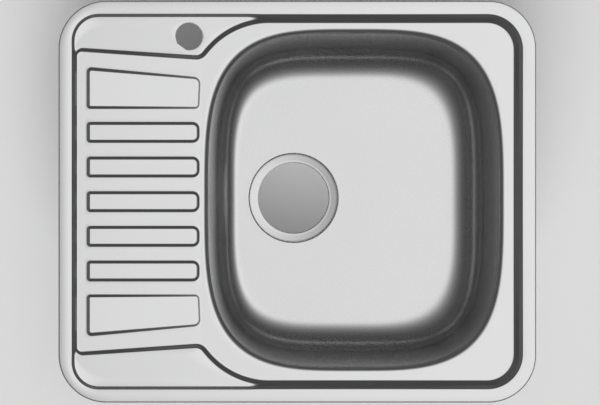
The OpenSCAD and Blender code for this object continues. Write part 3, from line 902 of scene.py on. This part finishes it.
    def rib(self, i: int) -> None:
        """Cell i with its rib: flat, sloping side and flat top.

        A point of the side lies a share of the way from the foot to the top in plan, and is the
        rib's height there times the ramp of that share over the floor.

        Args:
            i: number of the cell, from the front.
        """
        z = self.sizes
        foot, top = z.rib_outline(i), z.rib_top(i)
        x, y = self.block_x_line(), self.cell_side_y(i)
        border = np.concatenate([
            np.stack([x, np.full_like(x, y[0])], -1)[:-1],
            np.stack([np.full_like(y, x[-1]), y], -1)[:-1],
            np.stack([x[::-1], np.full_like(x, y[-1])], -1)[:-1],
            np.stack([np.full_like(y, x[0]), y[::-1]], -1)[:-1],
        ])
        m = self.rib_halves
        counts = (self.rib_along(), self.rib_across, self.rib_along(), self.rib_across)
        s = np.concatenate([stretch(k, m, n, m)[:-1] for k, n in enumerate(counts)])
        low, high = foot.at(s), top.at(s)
        self.strip(border, low, 2, True)
        facing = unit(low - high)[:, 0].clip(0, 1) if 0 < i <= z.rib_count else np.zeros(len(low))
        ends = self.rib_ease, self.rib_ease + self.rib_ease_more * facing**2
        rings = []
        for t in np.linspace(0, 1, self.slope_rows + 1):
            line = low + t * (high - low)
            rings.append(self.on_level(line, ramp(t, *ends) * z.rib_rise(i, line[:, 0])))
        for more in self.rib_top_in:
            line = z.rib_top(i, more).at(s)
            rings.append(self.on_level(line, z.rib_rise(i, line[:, 0])))
        self.work.loft(rings, True)
        self.work.cap(rings[-1])

    def mouth(self, bearings: Array) -> None:
        """The mouth's rounded edge and the collar down to the seam.

        The edge is a quarter of a circle, less the draft, and the collar goes on at the draft.

        Args:
            bearings: columns of the mouth.
        """
        z = self.sizes
        rings = []
        for a in np.linspace(0, math.pi / 2 - z.draft, self.mouth_rows + 1):
            level = z.well_z - z.mouth_r * (1 - math.cos(a))
            rings.append(z.bowl_ring(bearings, z.mouth_r * math.sin(a), 0, level))
        for level in np.linspace(z.round_z, z.seam_z, self.collar_rows + 1)[1:]:
            wall_in = (z.round_z - level) * math.tan(z.draft)
            rings.append(z.bowl_ring(bearings, z.round_in, wall_in, level))
        self.work.loft(rings, True)

    def build(self) -> tuple[bpy.types.Object, Array]:
        """Build the deck.

        Returns:
            The deck's object, and the bearings of the mouth's columns.
        """
        top = self.sizes.well_outline()
        foot = top.inset(self.sizes.well_widths)
        round_s = self.bowl_columns(foot)
        s, line = self.drainer_columns(foot)
        once = np.concatenate([round_s[:-1], s[:-1]])
        self.rim_and_steps(once, top, foot)
        bearings = self.surround(s, line, round_s, foot)
        for i in range(len(self.sizes.cell_y) - 1):
            self.rib(i)
        self.mouth(bearings)
        return thicken(self.work.build("deck_pressing"), self.sizes.sheet), bearings


# The drawn bowl


@dataclass
class BowlSheet:
    """The bowl: drafted walls, the round to the floor, the floor and the dish for the waste."""

    sizes: SinkSizes
    wall_rows: int = 10
    round_rows: int = 22
    floor_rows: int = 8
    # Dish: its edge, the land beside the hole, and the hole's lip
    step_rows: int = 8
    cone_rows: int = 4
    step_w: float = 1.3
    step_out: float = 0.4
    step_ease: tuple[float, float] = (0.35, 0.3)
    rim_out: float = 1.4
    land_w: float = 1.5
    lip_w: float = 0.15
    lip_d: float = 0.09

    def dish_section(self) -> Array:
        """Radii and heights of the dish, from the floor in: a steep step, a cone and a land.

        Returns:
            A radius and a height in each row.
        """
        z = self.sizes
        across = np.linspace(0, 1, self.step_rows + 1)
        edge_r = z.dish_r + self.step_out - (self.step_w + self.step_out) * across
        edge_z = -z.dish_step * ramp(across, *self.step_ease)
        land_r = z.waste_r + self.land_w
        cone = np.linspace(0, 1, self.cone_rows + 1)[1:]
        cone_r = edge_r[-1] + (land_r - edge_r[-1]) * cone
        cone_z = -z.dish_step - (z.dish_depth - z.dish_step) * cone
        return np.concatenate([
            [[z.dish_r + self.rim_out, 0.0]],
            np.stack([edge_r, edge_z], -1),
            np.stack([cone_r, cone_z], -1),
            [[z.waste_r + self.lip_w, -z.dish_depth], [z.waste_r, -z.dish_depth - self.lip_d]],
        ])

    def build(self, bearings: Array) -> bpy.types.Object:
        """Build the bowl.

        Args:
            bearings: columns of the mouth, in radians.

        Returns:
            The bowl's object.
        """
        z = self.sizes
        waste = np.array(z.waste)
        top, inner = z.round_z, z.round_in
        low = z.floor_z + z.floor_r * (1 - math.sin(z.draft))
        floor_in = (top - low) * math.tan(z.draft) + z.floor_r * math.cos(z.draft)
        rings = []
        for level in np.linspace(z.seam_z, low, self.wall_rows + 1):
            rings.append(z.bowl_ring(bearings, inner, (top - level) * math.tan(z.draft), level))
        span = math.pi / 2 - z.draft
        for a in np.linspace(span, 0, self.round_rows + 1)[1:]:
            level = z.floor_z + z.floor_r * (1 - math.cos(a))
            ring = z.bowl_ring(bearings, inner, floor_in - z.floor_r * math.sin(a), level)
            reach = np.linalg.norm(ring[:, :2] - waste, axis=1) - z.flat_r
            ring[:, 2] += (1 - a / span) * z.floor_fall * reach
            rings.append(ring)
        out = unit(rings[-1][:, :2] - waste)
        round_waste = lambda r, level: raised(waste + r * out, level)
        inside = round_waste(z.flat_r, z.floor_z)
        last = rings[-1]
        shares = np.linspace(0, 1, self.floor_rows + 1)[1:]
        rings += [last + t * (inside - last) for t in shares]
        rings += [round_waste(r, z.floor_z + h) for r, h in self.dish_section()]
        work = Patchwork()
        work.loft(rings, True)
        return thicken(work.build("bowl_pressing"), z.sheet)


# Shading


class Kind(Enum):
    """Shader nodes that the finishes use."""

    PRINCIPLED = "ShaderNodeBsdfPrincipled"
    OUTPUT = "ShaderNodeOutputMaterial"
    WORLD = "ShaderNodeOutputWorld"
    BACKGROUND = "ShaderNodeBackground"
    COORD = "ShaderNodeTexCoord"
    MAPPING = "ShaderNodeMapping"
    NOISE = "ShaderNodeTexNoise"
    BUMP = "ShaderNodeBump"
    MATH = "ShaderNodeMath"
    VECTOR = "ShaderNodeVectorMath"
    RAMP = "ShaderNodeValToRGB"


Value = Union["Wire", float, int, Sequence[float]]


class Wire:
    """A shader socket that takes part in arithmetic: each operator adds one Math node."""

    def __init__(self, bench: Bench, socket: bpy.types.NodeSocket) -> None:
        """Keep the bench and the socket."""
        self.bench, self.socket = bench, socket

    def _math(self, operation: str, a: Value, b: Value) -> Wire:
        """The wire of a Math node on a and b."""
        return self.bench.add(Kind.MATH, {"operation": operation}, {0: a, 1: b})[0]

    def __add__(self, other: Value) -> Wire:
        """self + other."""
        return self._math("ADD", self, other)

    def __radd__(self, other: Value) -> Wire:
        """other + self."""
        return self._math("ADD", other, self)

    def __sub__(self, other: Value) -> Wire:
        """self - other."""
        return self._math("SUBTRACT", self, other)

    def __rsub__(self, other: Value) -> Wire:
        """other - self."""
        return self._math("SUBTRACT", other, self)

    def __mul__(self, other: Value) -> Wire:
        """self * other."""
        return self._math("MULTIPLY", self, other)

    def __rmul__(self, other: Value) -> Wire:
        """other * self."""
        return self._math("MULTIPLY", other, self)


class Bench:
    """One node tree under construction."""

    def __init__(self, tree: bpy.types.NodeTree) -> None:
        """Empty the tree."""
        self.tree = tree
        tree.nodes.clear()

    def add(self, kind: Kind, settings: Mapping[str, object] | None = None,
            inputs: Mapping[int | str, Value] | None = None) -> list[Wire]:
        """Add any node.

        Args:
            kind: the node's type.
            settings: its settings, set first; "stops" holds a ramp's (place, brightness) pairs.
            inputs: values or wires of its sockets, by number or name.

        Returns:
            Wires of its outputs.
        """
        node = self.tree.nodes.new(kind.value)
        for key, value in (settings or {}).items():
            if key != "stops":
                setattr(node, key, value)
                continue
            band = node.color_ramp
            while len(band.elements) < len(value):
                band.elements.new(1.0)
            for element, (place, bright) in zip(band.elements, value):
                element.position = place
                element.color = (bright, bright, bright, 1.0)
        for key, value in (inputs or {}).items():
            if isinstance(value, Wire):
                self.tree.links.new(value.socket, node.inputs[key])
            else:
                node.inputs[key].default_value = value
        return [Wire(self, socket) for socket in node.outputs]

    def surface(self, inputs: Mapping[int | str, Value]) -> None:
        """Add the surface's shader with these inputs, and the tree's output."""
        shader = self.add(Kind.PRINCIPLED, {}, inputs)[0]
        self.add(Kind.OUTPUT, {}, {"Surface": shader})

    def scaled(self, color: Sequence[float], shade: Wire) -> Wire:
        """The colour times the shade."""
        return self.add(Kind.VECTOR, {"operation": "SCALE"}, {0: color, "Scale": shade})[0]

    def object_noise(self, scale: float, detail: float,
                     stretch_by: Sequence[float] = (1, 1, 1)) -> Wire:
        """Noise on Object coordinates, in metres, stretched along the axes.

        Args:
            scale: scale of the noise.
            detail: its octaves.
            stretch_by: factors on the three coordinates.

        Returns:
            The noise's value.
        """
        place = self.add(Kind.COORD)[3]
        place = self.add(Kind.MAPPING, {}, {"Vector": place, "Scale": tuple(stretch_by)})[0]
        return self.add(Kind.NOISE, {}, {"Vector": place, "Scale": scale, "Detail": detail})[0]


@dataclass(frozen=True)
class Finish:
    """A surface finish: colour, gloss, and a grain that varies both and dents the surface."""

    name: str
    slot: str
    color: tuple[float, float, float]
    metallic: float
    roughness: float
    grain: float = 3000.0
    grain_stretch: tuple[float, float, float] = (1.0, 1.0, 1.0)
    grain_shade: float = 0.02
    grain_rough: float = 0.04
    bump: float = 0.05
    bump_depth: float = 0.00002
    blotch: float = 12.0
    blotch_shade: float = 0.015
    specular: float = 0.5
    grain_detail: float = 3.0
    blotch_detail: float = 2.0

    def material(self) -> bpy.types.Material:
        """Build the material, once: both noises vary its colour, the fine one gloss and relief.

        Each noise lies about a half, so (noise - 0.5) * 2 runs from -1 to 1.

        Returns:
            The material.
        """
        found = bpy.data.materials.get(self.name)
        if found:
            return found
        made = bpy.data.materials.new(self.name)
        made.use_nodes = True
        bench = Bench(made.node_tree)
        fine = bench.object_noise(self.grain, self.grain_detail, self.grain_stretch)
        broad = bench.object_noise(self.blotch, self.blotch_detail)
        shade = (1.0 + self.grain_shade * (fine - 0.5) * 2.0
                 + self.blotch_shade * (broad - 0.5) * 2.0)
        rough = self.roughness + self.grain_rough * (fine - 0.5) * 2.0
        normal = bench.add(Kind.BUMP, {}, {
            "Strength": self.bump, "Distance": self.bump_depth, "Height": fine})[0]
        bench.surface({
            "Base Color": bench.scaled(self.color, shade), "Metallic": self.metallic,
            "Roughness": rough, "Normal": normal, "Specular IOR Level": self.specular})
        return made


STEEL = Finish("satin_stainless", "stainless", (0.64, 0.64, 0.645), 1.0, 0.20, grain=2600.0,
               grain_stretch=(0.08, 1.0, 1.0), grain_shade=0.012, grain_rough=0.03, bump=0.12)
DRAWN = replace(STEEL, name="drawn_stainless", color=(0.68, 0.68, 0.685), roughness=0.27)
ZINC = Finish("zinc_plate", "zinc_plate", (0.56, 0.59, 0.63), 1.0, 0.36, grain=900.0,
              grain_shade=0.08, grain_rough=0.1, bump=0.2, blotch=90.0, blotch_shade=0.08)
BRASS = Finish("turned_brass", "brass", (0.72, 0.52, 0.22), 1.0, 0.28, grain=1500.0,
               grain_shade=0.05, grain_rough=0.08, bump=0.15, blotch=120.0, blotch_shade=0.06)
PLASTIC = Finish("moulded_black", "black_plastic", (0.035, 0.035, 0.038), 0.0, 0.5, grain=1800.0,
                 grain_shade=0.15, grain_rough=0.08, bump=0.3, blotch_shade=0.05)
DAMPING = Finish("damping_rubber", "damping_pad", (0.13, 0.13, 0.14), 0.0, 0.78, grain=420.0,
                 grain_shade=0.25, grain_rough=0.12, bump=0.9, bump_depth=0.0004,
                 blotch=60.0, blotch_shade=0.1)
FOAM = Finish("cell_foam", "foam_seal", (0.10, 0.10, 0.105), 0.0, 0.9, grain=1300.0,
              grain_shade=0.3, grain_rough=0.08, bump=0.8, bump_depth=0.0003, blotch_shade=0.08)


# Pieces under the deck


@dataclass
class RimSeal:
    """Foam strip between the rim and the worktop."""

    sizes: SinkSizes
    width: float = 9.0
    gap: float = 2.0
    clear: float = 0.02
    bearing_step: float = 1.5
    section_points: int = 24
    roundness: float = 0.35

    def build(self) -> bpy.types.Object:
        """Carry a rounded flat section once round the rim.

        The section is a superellipse: u = half width * sign(cos) * |cos|^roundness across the
        strip, and v = half height * sign(sin) * |sin|^roundness up it.

        Returns:
            The seal's object.
        """
        z = self.sizes
        height = z.rim_h - z.sheet
        middle_in = z.sheet + self.gap + self.width / 2
        bearings = np.radians(np.arange(0, 360, self.bearing_step))
        centre = np.zeros(2)
        t = np.linspace(0, 2 * np.pi, self.section_points + 1)[:-1]
        power = lambda v: np.sign(v) * np.abs(v) ** self.roundness
        u = (self.width / 2 - self.clear) * power(np.cos(t))
        v = (height / 2 - self.clear) * power(np.sin(t))
        rings = []
        for across, up in zip(np.append(u, u[0]), np.append(v, v[0])):
            line = z.deck_outline(middle_in - across).toward(bearings, centre)
            rings.append(raised(line, height / 2 + up))
        work = Patchwork()
        work.loft(rings, True)
        return settle(work.build("rim_foam"))


@dataclass
class SoundPad:
    """Damping pad under the sheet: a rounded slab that follows the sheet and thins at its edge."""

    name: str
    middle: tuple[float, float]
    half: tuple[float, float]
    corner_r: float
    top: Callable[[Array, Array], Array]
    thickness: float = 2.5
    edge_r: float = 1.1
    edge_rows: int = 6
    top_edge_r: float = 0.3
    top_edge_rows: int = 3
    top_in: float = 0.4
    crown: float = 0.35
    clear: float = 0.02
    inside: tuple[float, ...] = (0.02, 0.25, 0.5, 0.7, 0.85, 0.95)
    arc_steps: int = 6
    side_steps: int = 10

    def ring(self, inset: float, share: float, depth: float) -> Array:
        """One ring of the slab.

        Args:
            inset: distance inside the pad's outline.
            share: size as a part of that outline's.
            depth: distance under the sheet's face.

        Returns:
            Points of the ring.
        """
        r, m = self.corner_r - inset, self.arc_steps
        line = box_outline(self.half[0] - inset, self.half[1] - inset, r, r)
        s = np.concatenate([stretch(k, m, self.side_steps, m)[:-1] for k in range(4)])
        points = np.array(self.middle) + share * line.at(s)
        return raised(points, self.top(points[:, 0], points[:, 1]) - depth)

    def build(self) -> bpy.types.Object:
        """Loft the lower face outwards, the rounded edge upwards and the upper face inwards.

        Returns:
            The pad's object.
        """
        low, high, r = self.thickness - self.clear, self.clear, self.edge_r
        rings = [self.ring(r, k, low - self.crown * k**4) for k in self.inside]
        for a in np.radians(np.linspace(0, 90, self.edge_rows + 1)):
            depth = low - self.crown - r * (1 - math.cos(a))
            rings.append(self.ring(r * (1 - math.sin(a)) + self.clear, 1, depth))
        small = self.top_edge_r
        for a in np.radians(np.linspace(0, 90, self.top_edge_rows + 1)):
            depth = high + small * (1 - math.sin(a))
            rings.append(self.ring(small * (1 - math.cos(a)) + self.clear, 1, depth))
        rings += [self.ring(self.top_in, k, high) for k in reversed(self.inside)]
        work = Patchwork()
        work.close(rings)
        return settle(work.build(self.name), PAD_CREASE)


@dataclass(frozen=True)
class ClipScrew:
    """Clip screw: slotted hexagon head, rolled thread and a dog point."""

    head_r: float = 4.38
    head_h: float = 3.5
    shoulder: float = 1.2
    crest_r: float = 2.47
    root_r: float = 2.02
    pitch: float = 0.8
    # Wave of the thread: its height, slope and narrowing, and its run past the neck
    wave_peak: float = 1.25
    wave_slope: float = 2.5
    wave_narrow: float = 1.1
    thread_over: float = 0.2
    dog_r: float = 1.53
    dog_h: float = 2.8
    slot_w: float = 1.0
    slot_d: float = 1.2
    slot_over: float = 1.0
    slot_r: float = 0.01
    columns: int = 48
    thread_rows: int = 6
    # Height from the head's lower or upper face, and depth of the cone's cut there
    head_low: tuple[tuple[float, float], ...] = ((0.0, 0.5), (0.15, 0.3), (0.4, 0.0))
    head_high: tuple[tuple[float, float], ...] = ((-0.4, 0.0), (-0.1, 0.3))
    # Radius beyond the dog point's, and height from the neck or from the tip
    dog_low: tuple[tuple[float, float], ...] = ((0.1, 0.5), (0.0, 0.6))
    dog_high: tuple[tuple[float, float], ...] = ((0.0, -0.35), (-0.3, -0.02))

    def bearings(self) -> Array:
        """Directions of the columns, one of which meets each corner of the head."""
        return np.arange(self.columns) * 2 * np.pi / self.columns

    def lathe(self, radius: Array | float, z: float) -> Array:
        """Ring about the screw's axis."""
        t = self.bearings()
        return raised(np.stack([radius * np.cos(t), radius * np.sin(t)], -1), z)

    def head(self, low: float) -> list[Array]:
        """Rings of the head: a hexagon, r = R cos(30) / cos(t - 30), cut by a cone at both ends.

        Args:
            low: height of the head's lower face.

        Returns:
            The rings, from the bottom up.
        """
        t = np.mod(self.bearings(), np.pi / 3)
        hexagon = self.head_r * math.cos(math.pi / 6) / np.cos(t - np.pi / 6)
        high = low + self.head_h
        cone = [(low + up, cut) for up, cut in self.head_low]
        cone += [(high + up, cut) for up, cut in self.head_high]
        rings = [self.lathe(np.minimum(hexagon, self.head_r - cut), z) for z, cut in cone]
        shoulder = self.lathe(self.root_r + self.shoulder, high)
        return rings + [shoulder, self.lathe(self.root_r, high)]

    def thread(self, low: float, high: float) -> list[Array]:
        """Rings of the thread.

        The radius is a wave of the phase z / pitch - bearing / turn: a flat root, straight flanks
        and a narrow crest. The wave runs out over one pitch at both ends.

        Args:
            low: height of the thread's lower end.
            high: height of its upper end.

        Returns:
            The rings, from the bottom up.
        """
        rows = round((high - low) / self.pitch * self.thread_rows)
        rings = []
        for z in np.linspace(low, high, rows + 1):
            phase = np.mod(z / self.pitch - self.bearings() / (2 * np.pi), 1)
            off = self.wave_slope * np.abs(phase - 0.5) * self.wave_narrow
            wave = np.clip(self.wave_peak - off, 0, 1)
            out = min(1.0, (z - low) / self.pitch, (high - z) / self.pitch)
            rings.append(self.lathe(self.root_r + (self.crest_r - self.root_r) * wave * out, z))
        return rings

    def build(self, name: str, box: Sequence[Vector], bearing: float) -> bpy.types.Object:
        """Build a screw in the place of a solid one.

        Args:
            name: name of the new object.
            box: lowest and highest corner of the solid screw, in metres.
            bearing: direction of the slot, in radians.

        Returns:
            The screw's object.
        """
        low, high = box[0][2] / MM, box[1][2] / MM
        neck = high - self.dog_h
        rings = self.head(low) + self.thread(low + self.head_h, neck + self.thread_over)[1:]
        rings += [self.lathe(self.dog_r + out, neck + up) for out, up in self.dog_low]
        rings += [self.lathe(self.dog_r + out, high + up) for out, up in self.dog_high]
        work = Patchwork()
        work.close(rings)
        screw = work.build(name)
        over, r = self.slot_over, self.slot_r
        slot = box_outline(self.head_r + over, self.slot_w / 2, r, r)
        slot_line = slot.at(np.arange(2.0 * len(slot.corners)))
        cutter = Patchwork()
        cutter.close([raised(slot_line, low - over), raised(slot_line, low + self.slot_d)])
        tool = cutter.build("slot_tool")
        cut = screw.modifiers.new("slot", "BOOLEAN")
        cut.operation, cut.object = "DIFFERENCE", tool
        screw.modifiers.new("cut faces", "TRIANGULATE")
        settle(screw, FINE_CREASE)
        bpy.data.objects.remove(tool)
        middle = (box[0] + box[1]) / 2
        to_place = Matrix.Translation((middle.x, middle.y, 0))
        screw.data.transform(to_place @ Matrix.Rotation(bearing, 4, "Z"))
        return screw


def eased(node: bpy.types.Object, name: str, width: float, least: float = 0.12,
          segments: int = 3) -> bpy.types.Object:
    """Copy of a solid piece with its sharp edges rounded.

    Args:
        node: object of the solid piece, which is left alone.
        name: name of the copy.
        width: width of the rounding, in millimetres, or 0 for none.
        least: an edge that meets a shorter one than this, in millimetres, stays sharp.
        segments: faces across a rounding.

    Returns:
        The copy.
    """
    mesh = bpy.data.meshes.new(name)
    shape = bmesh.new()
    shape.from_mesh(node.data)
    bmesh.ops.remove_doubles(shape, verts=shape.verts, dist=WELD)
    bmesh.ops.dissolve_limit(shape, angle_limit=math.radians(FLAT), verts=shape.verts,
                             edges=shape.edges)
    shortest = lambda edge: min(near.calc_length() for end in edge.verts for near in end.link_edges)
    sharp = [edge for edge in shape.edges
             if edge.calc_face_angle(0.0) > math.radians(SHARP) and shortest(edge) > least * MM]
    if width:
        bmesh.ops.bevel(shape, geom=sharp, offset=width * MM, offset_type="OFFSET",
                        segments=segments, profile=0.5, affect="EDGES", clamp_overlap=True)
    shape.to_mesh(mesh)
    shape.free()
    weld(mesh)
    return settle(linked(name, mesh), FINE_CREASE)


# Stage


# Light of the surroundings: degrees from the sky's axis, and the level there
SKY = (
    (180, 0.05), (100, 0.10), (92, 0.14), (82, 0.14), (76, 0.11), (70, 0.075), (62, 0.075),
    (54, 0.10), (44, 0.15), (36, 0.23), (30, 0.33), (26, 0.44), (22, 0.62), (19, 0.82),
    (16, 1.02), (13, 1.17), (8, 1.22), (0, 1.22),
)


@dataclass
class Studio:
    """Camera straight above, a pale floor, a sky brightest overhead, and a low light in front."""

    height: float = 3.2
    aim: tuple[float, float] = (0.0033, -0.0010)
    lens: float = 158.2
    sensor: float = 36.0
    clip: tuple[float, float] = (0.05, 50.0)
    axis: tuple[float, float, float] = (0.16, 0.0, 1.0)
    floor_z: float = -0.1612
    floor_half: float = 6.0
    floor_tone: float = 0.82
    floor_mottle: float = 0.01
    floor_rough: float = 0.9
    floor_specular: float = 0.1
    fill_energy: float = 3.7
    fill_spread: float = 36.0
    fill_tilt: float = 62.0

    def camera(self) -> None:
        """The photograph's view: from above the sink, with the tap hole at the top."""
        data = bpy.data.cameras.new("camera")
        data.sensor_width, data.lens = self.sensor, self.lens
        data.clip_start, data.clip_end = self.clip
        view = linked("camera", data)
        view.location = (*self.aim, self.height)
        bpy.context.scene.camera = view

    def floor(self) -> None:
        """A wide pale floor under the sink."""
        half = self.floor_half
        mesh = bpy.data.meshes.new("floor")
        square = ((-half, -half), (half, -half), (half, half), (-half, half))
        mesh.from_pydata([(x, y, self.floor_z) for x, y in square], [], [(0, 1, 2, 3)])
        floor = linked("floor", mesh)
        made = bpy.data.materials.new("pale_floor")
        made.use_nodes = True
        bench = Bench(made.node_tree)
        tone = self.floor_tone + self.floor_mottle * (bench.object_noise(3.0, 2.0) - 0.5)
        bench.surface({"Base Color": bench.scaled((1.0, 1.0, 1.0), tone),
                       "Roughness": self.floor_rough, "Specular IOR Level": self.floor_specular})
        mesh.materials.append(made)

    def sky(self) -> None:
        """World light by the angle from a slightly tilted axis: brightest at it, dark round it.

        A level's place on the ramp is (cos(angle) + 1) / 2, and half a direction's part along the
        axis, plus a half, finds it there.
        """
        world = bpy.data.worlds.new("studio")
        bpy.context.scene.world = world
        world.use_nodes = True
        bench = Bench(world.node_tree)
        way = bench.add(Kind.COORD)[0]
        axis = tuple(Vector(self.axis).normalized())
        height = bench.add(Kind.VECTOR, {"operation": "DOT_PRODUCT"}, {0: way, 1: axis})[1]
        stops = [((math.cos(math.radians(a)) + 1) / 2, level) for a, level in SKY]
        light = bench.add(Kind.RAMP, {"stops": stops}, {0: 0.5 * height + 0.5})[0]
        shader = bench.add(Kind.BACKGROUND, {}, {"Color": light, "Strength": 1.0})[0]
        bench.add(Kind.WORLD, {}, {"Surface": shader})

    def fill(self) -> None:
        """Low soft light from the front for what isn't metal. No mirror image shows it."""
        data = bpy.data.lights.new("fill", "SUN")
        data.energy = self.fill_energy
        data.angle = math.radians(self.fill_spread)
        lamp = linked("fill", data)
        lamp.rotation_euler = (math.radians(self.fill_tilt), 0, 0)
        lamp.visible_glossy = False

    def build(self) -> None:
        """Set up camera, floor and light."""
        self.camera()
        self.floor()
        self.sky()
        self.fill()
        bpy.context.scene.view_settings.view_transform = "Standard"


# Assembly


def place(piece: bpy.types.Object, finish: Finish, body: str, *nodes: str) -> None:
    """Give a new piece its finish, ride it on its body and let it stand for its nodes.

    Args:
        piece: the new piece.
        finish: its finish, whose material the piece gets.
        body: body that carries it.
        nodes: nodes that it stands for.
    """
    piece.data.materials.clear()
    piece.data.materials.append(finish.material())
    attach(piece, body)
    if nodes:
        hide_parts(*nodes)
    stands_for = ", ".join(nodes) or "itself"
    log.info("%s: %d faces, for %s", piece.name, len(piece.data.polygons), stands_for)


SIDES = {"back_left": 90, "back_right": 90, "front_left": -90, "front_right": -90,
         "left_back": 180, "left_front": 180, "right_back": 0, "right_front": 0}


def place_clips(nodes: Mapping[str, bpy.types.Object]) -> None:
    """Dress the eight clips: eased strips, rivets and pads, and threaded screws.

    Args:
        nodes: the solids' objects, by the names of their nodes.
    """
    for side, bearing in SIDES.items():
        for part, body, finish, width in (
            ("bracket", "sink", ZINC, 0.3), ("rivet", "sink", ZINC, 0.35),
            ("arm", f"arm_{side}", ZINC, 0.4), ("tip", f"tip_{side}", PLASTIC, 0.5),
        ):
            node = f"clip_{part}_{side}"
            place(eased(nodes[node], f"{part}_{side}", width), finish, body, node)
        node = f"clip_screw_{side}"
        screw = ClipScrew().build(f"screw_{side}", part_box(node), math.radians(bearing))
        place(screw, ZINC, f"screw_{side}", node)


def place_earth(nodes: Mapping[str, bpy.types.Object]) -> None:
    """Dress the earth connection.

    Args:
        nodes: the solids' objects, by the names of their nodes.
    """
    for part, finish, width in (
        ("tag", STEEL, 0.25), ("screw", BRASS, 0.0), ("washer", ZINC, 0.25), ("nut", BRASS, 0.25),
    ):
        node = f"earth_{part}"
        place(eased(nodes[node], f"bonding_{part}", width), finish, "sink", node)


def place_soft(sizes: SinkSizes) -> None:
    """Dress the foam seal and the two sound pads, each of which follows the sheet above it.

    Args:
        sizes: the sink's sizes.
    """
    seal = RimSeal(sizes).build()
    place(seal, FOAM, "sink", "rim_seal")
    waste = np.array(sizes.waste)
    gap = sizes.sheet + sizes.glue
    cone = lambda x, y: (sizes.floor_z - gap
                         + (np.hypot(x - waste[0], y - waste[1]) - sizes.flat_r) * sizes.floor_fall)
    slope = lambda x, y: sizes.level(x) - gap
    rib_x = sizes.rib_outline(1).corners[:, 0]
    on_floor = waste[0] + sizes.flat_r + sizes.bowl_pad_off, sizes.mouth_y
    on_ribs = (rib_x.min() + rib_x.max()) / 2, 0.0
    for pad, node in (
        (SoundPad("bowl_damper", on_floor, sizes.bowl_pad, sizes.bowl_pad_r, cone),
         "bowl_sound_pad"),
        (SoundPad("drainer_damper", on_ribs, sizes.drainer_pad, sizes.drainer_pad_r, slope),
         "drainer_sound_pad"),
    ):
        piece = pad.build()
        place(piece, DAMPING, "sink", node)


def main() -> None:
    """Build the sink's pieces in order."""
    logging.basicConfig(level=logging.INFO, format="%(name)s: %(message)s")
    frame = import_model()
    sizes = SinkSizes()
    Studio().build()
    deck, bearings = DeckSheet(sizes).build()
    place(deck, STEEL, "sink", "deck")
    place(BowlSheet(sizes).build(bearings), DRAWN, "sink", "bowl")
    place_soft(sizes)
    place_clips(frame["nodes"])
    place_earth(frame["nodes"])


if __name__ == "__main__":
    main()
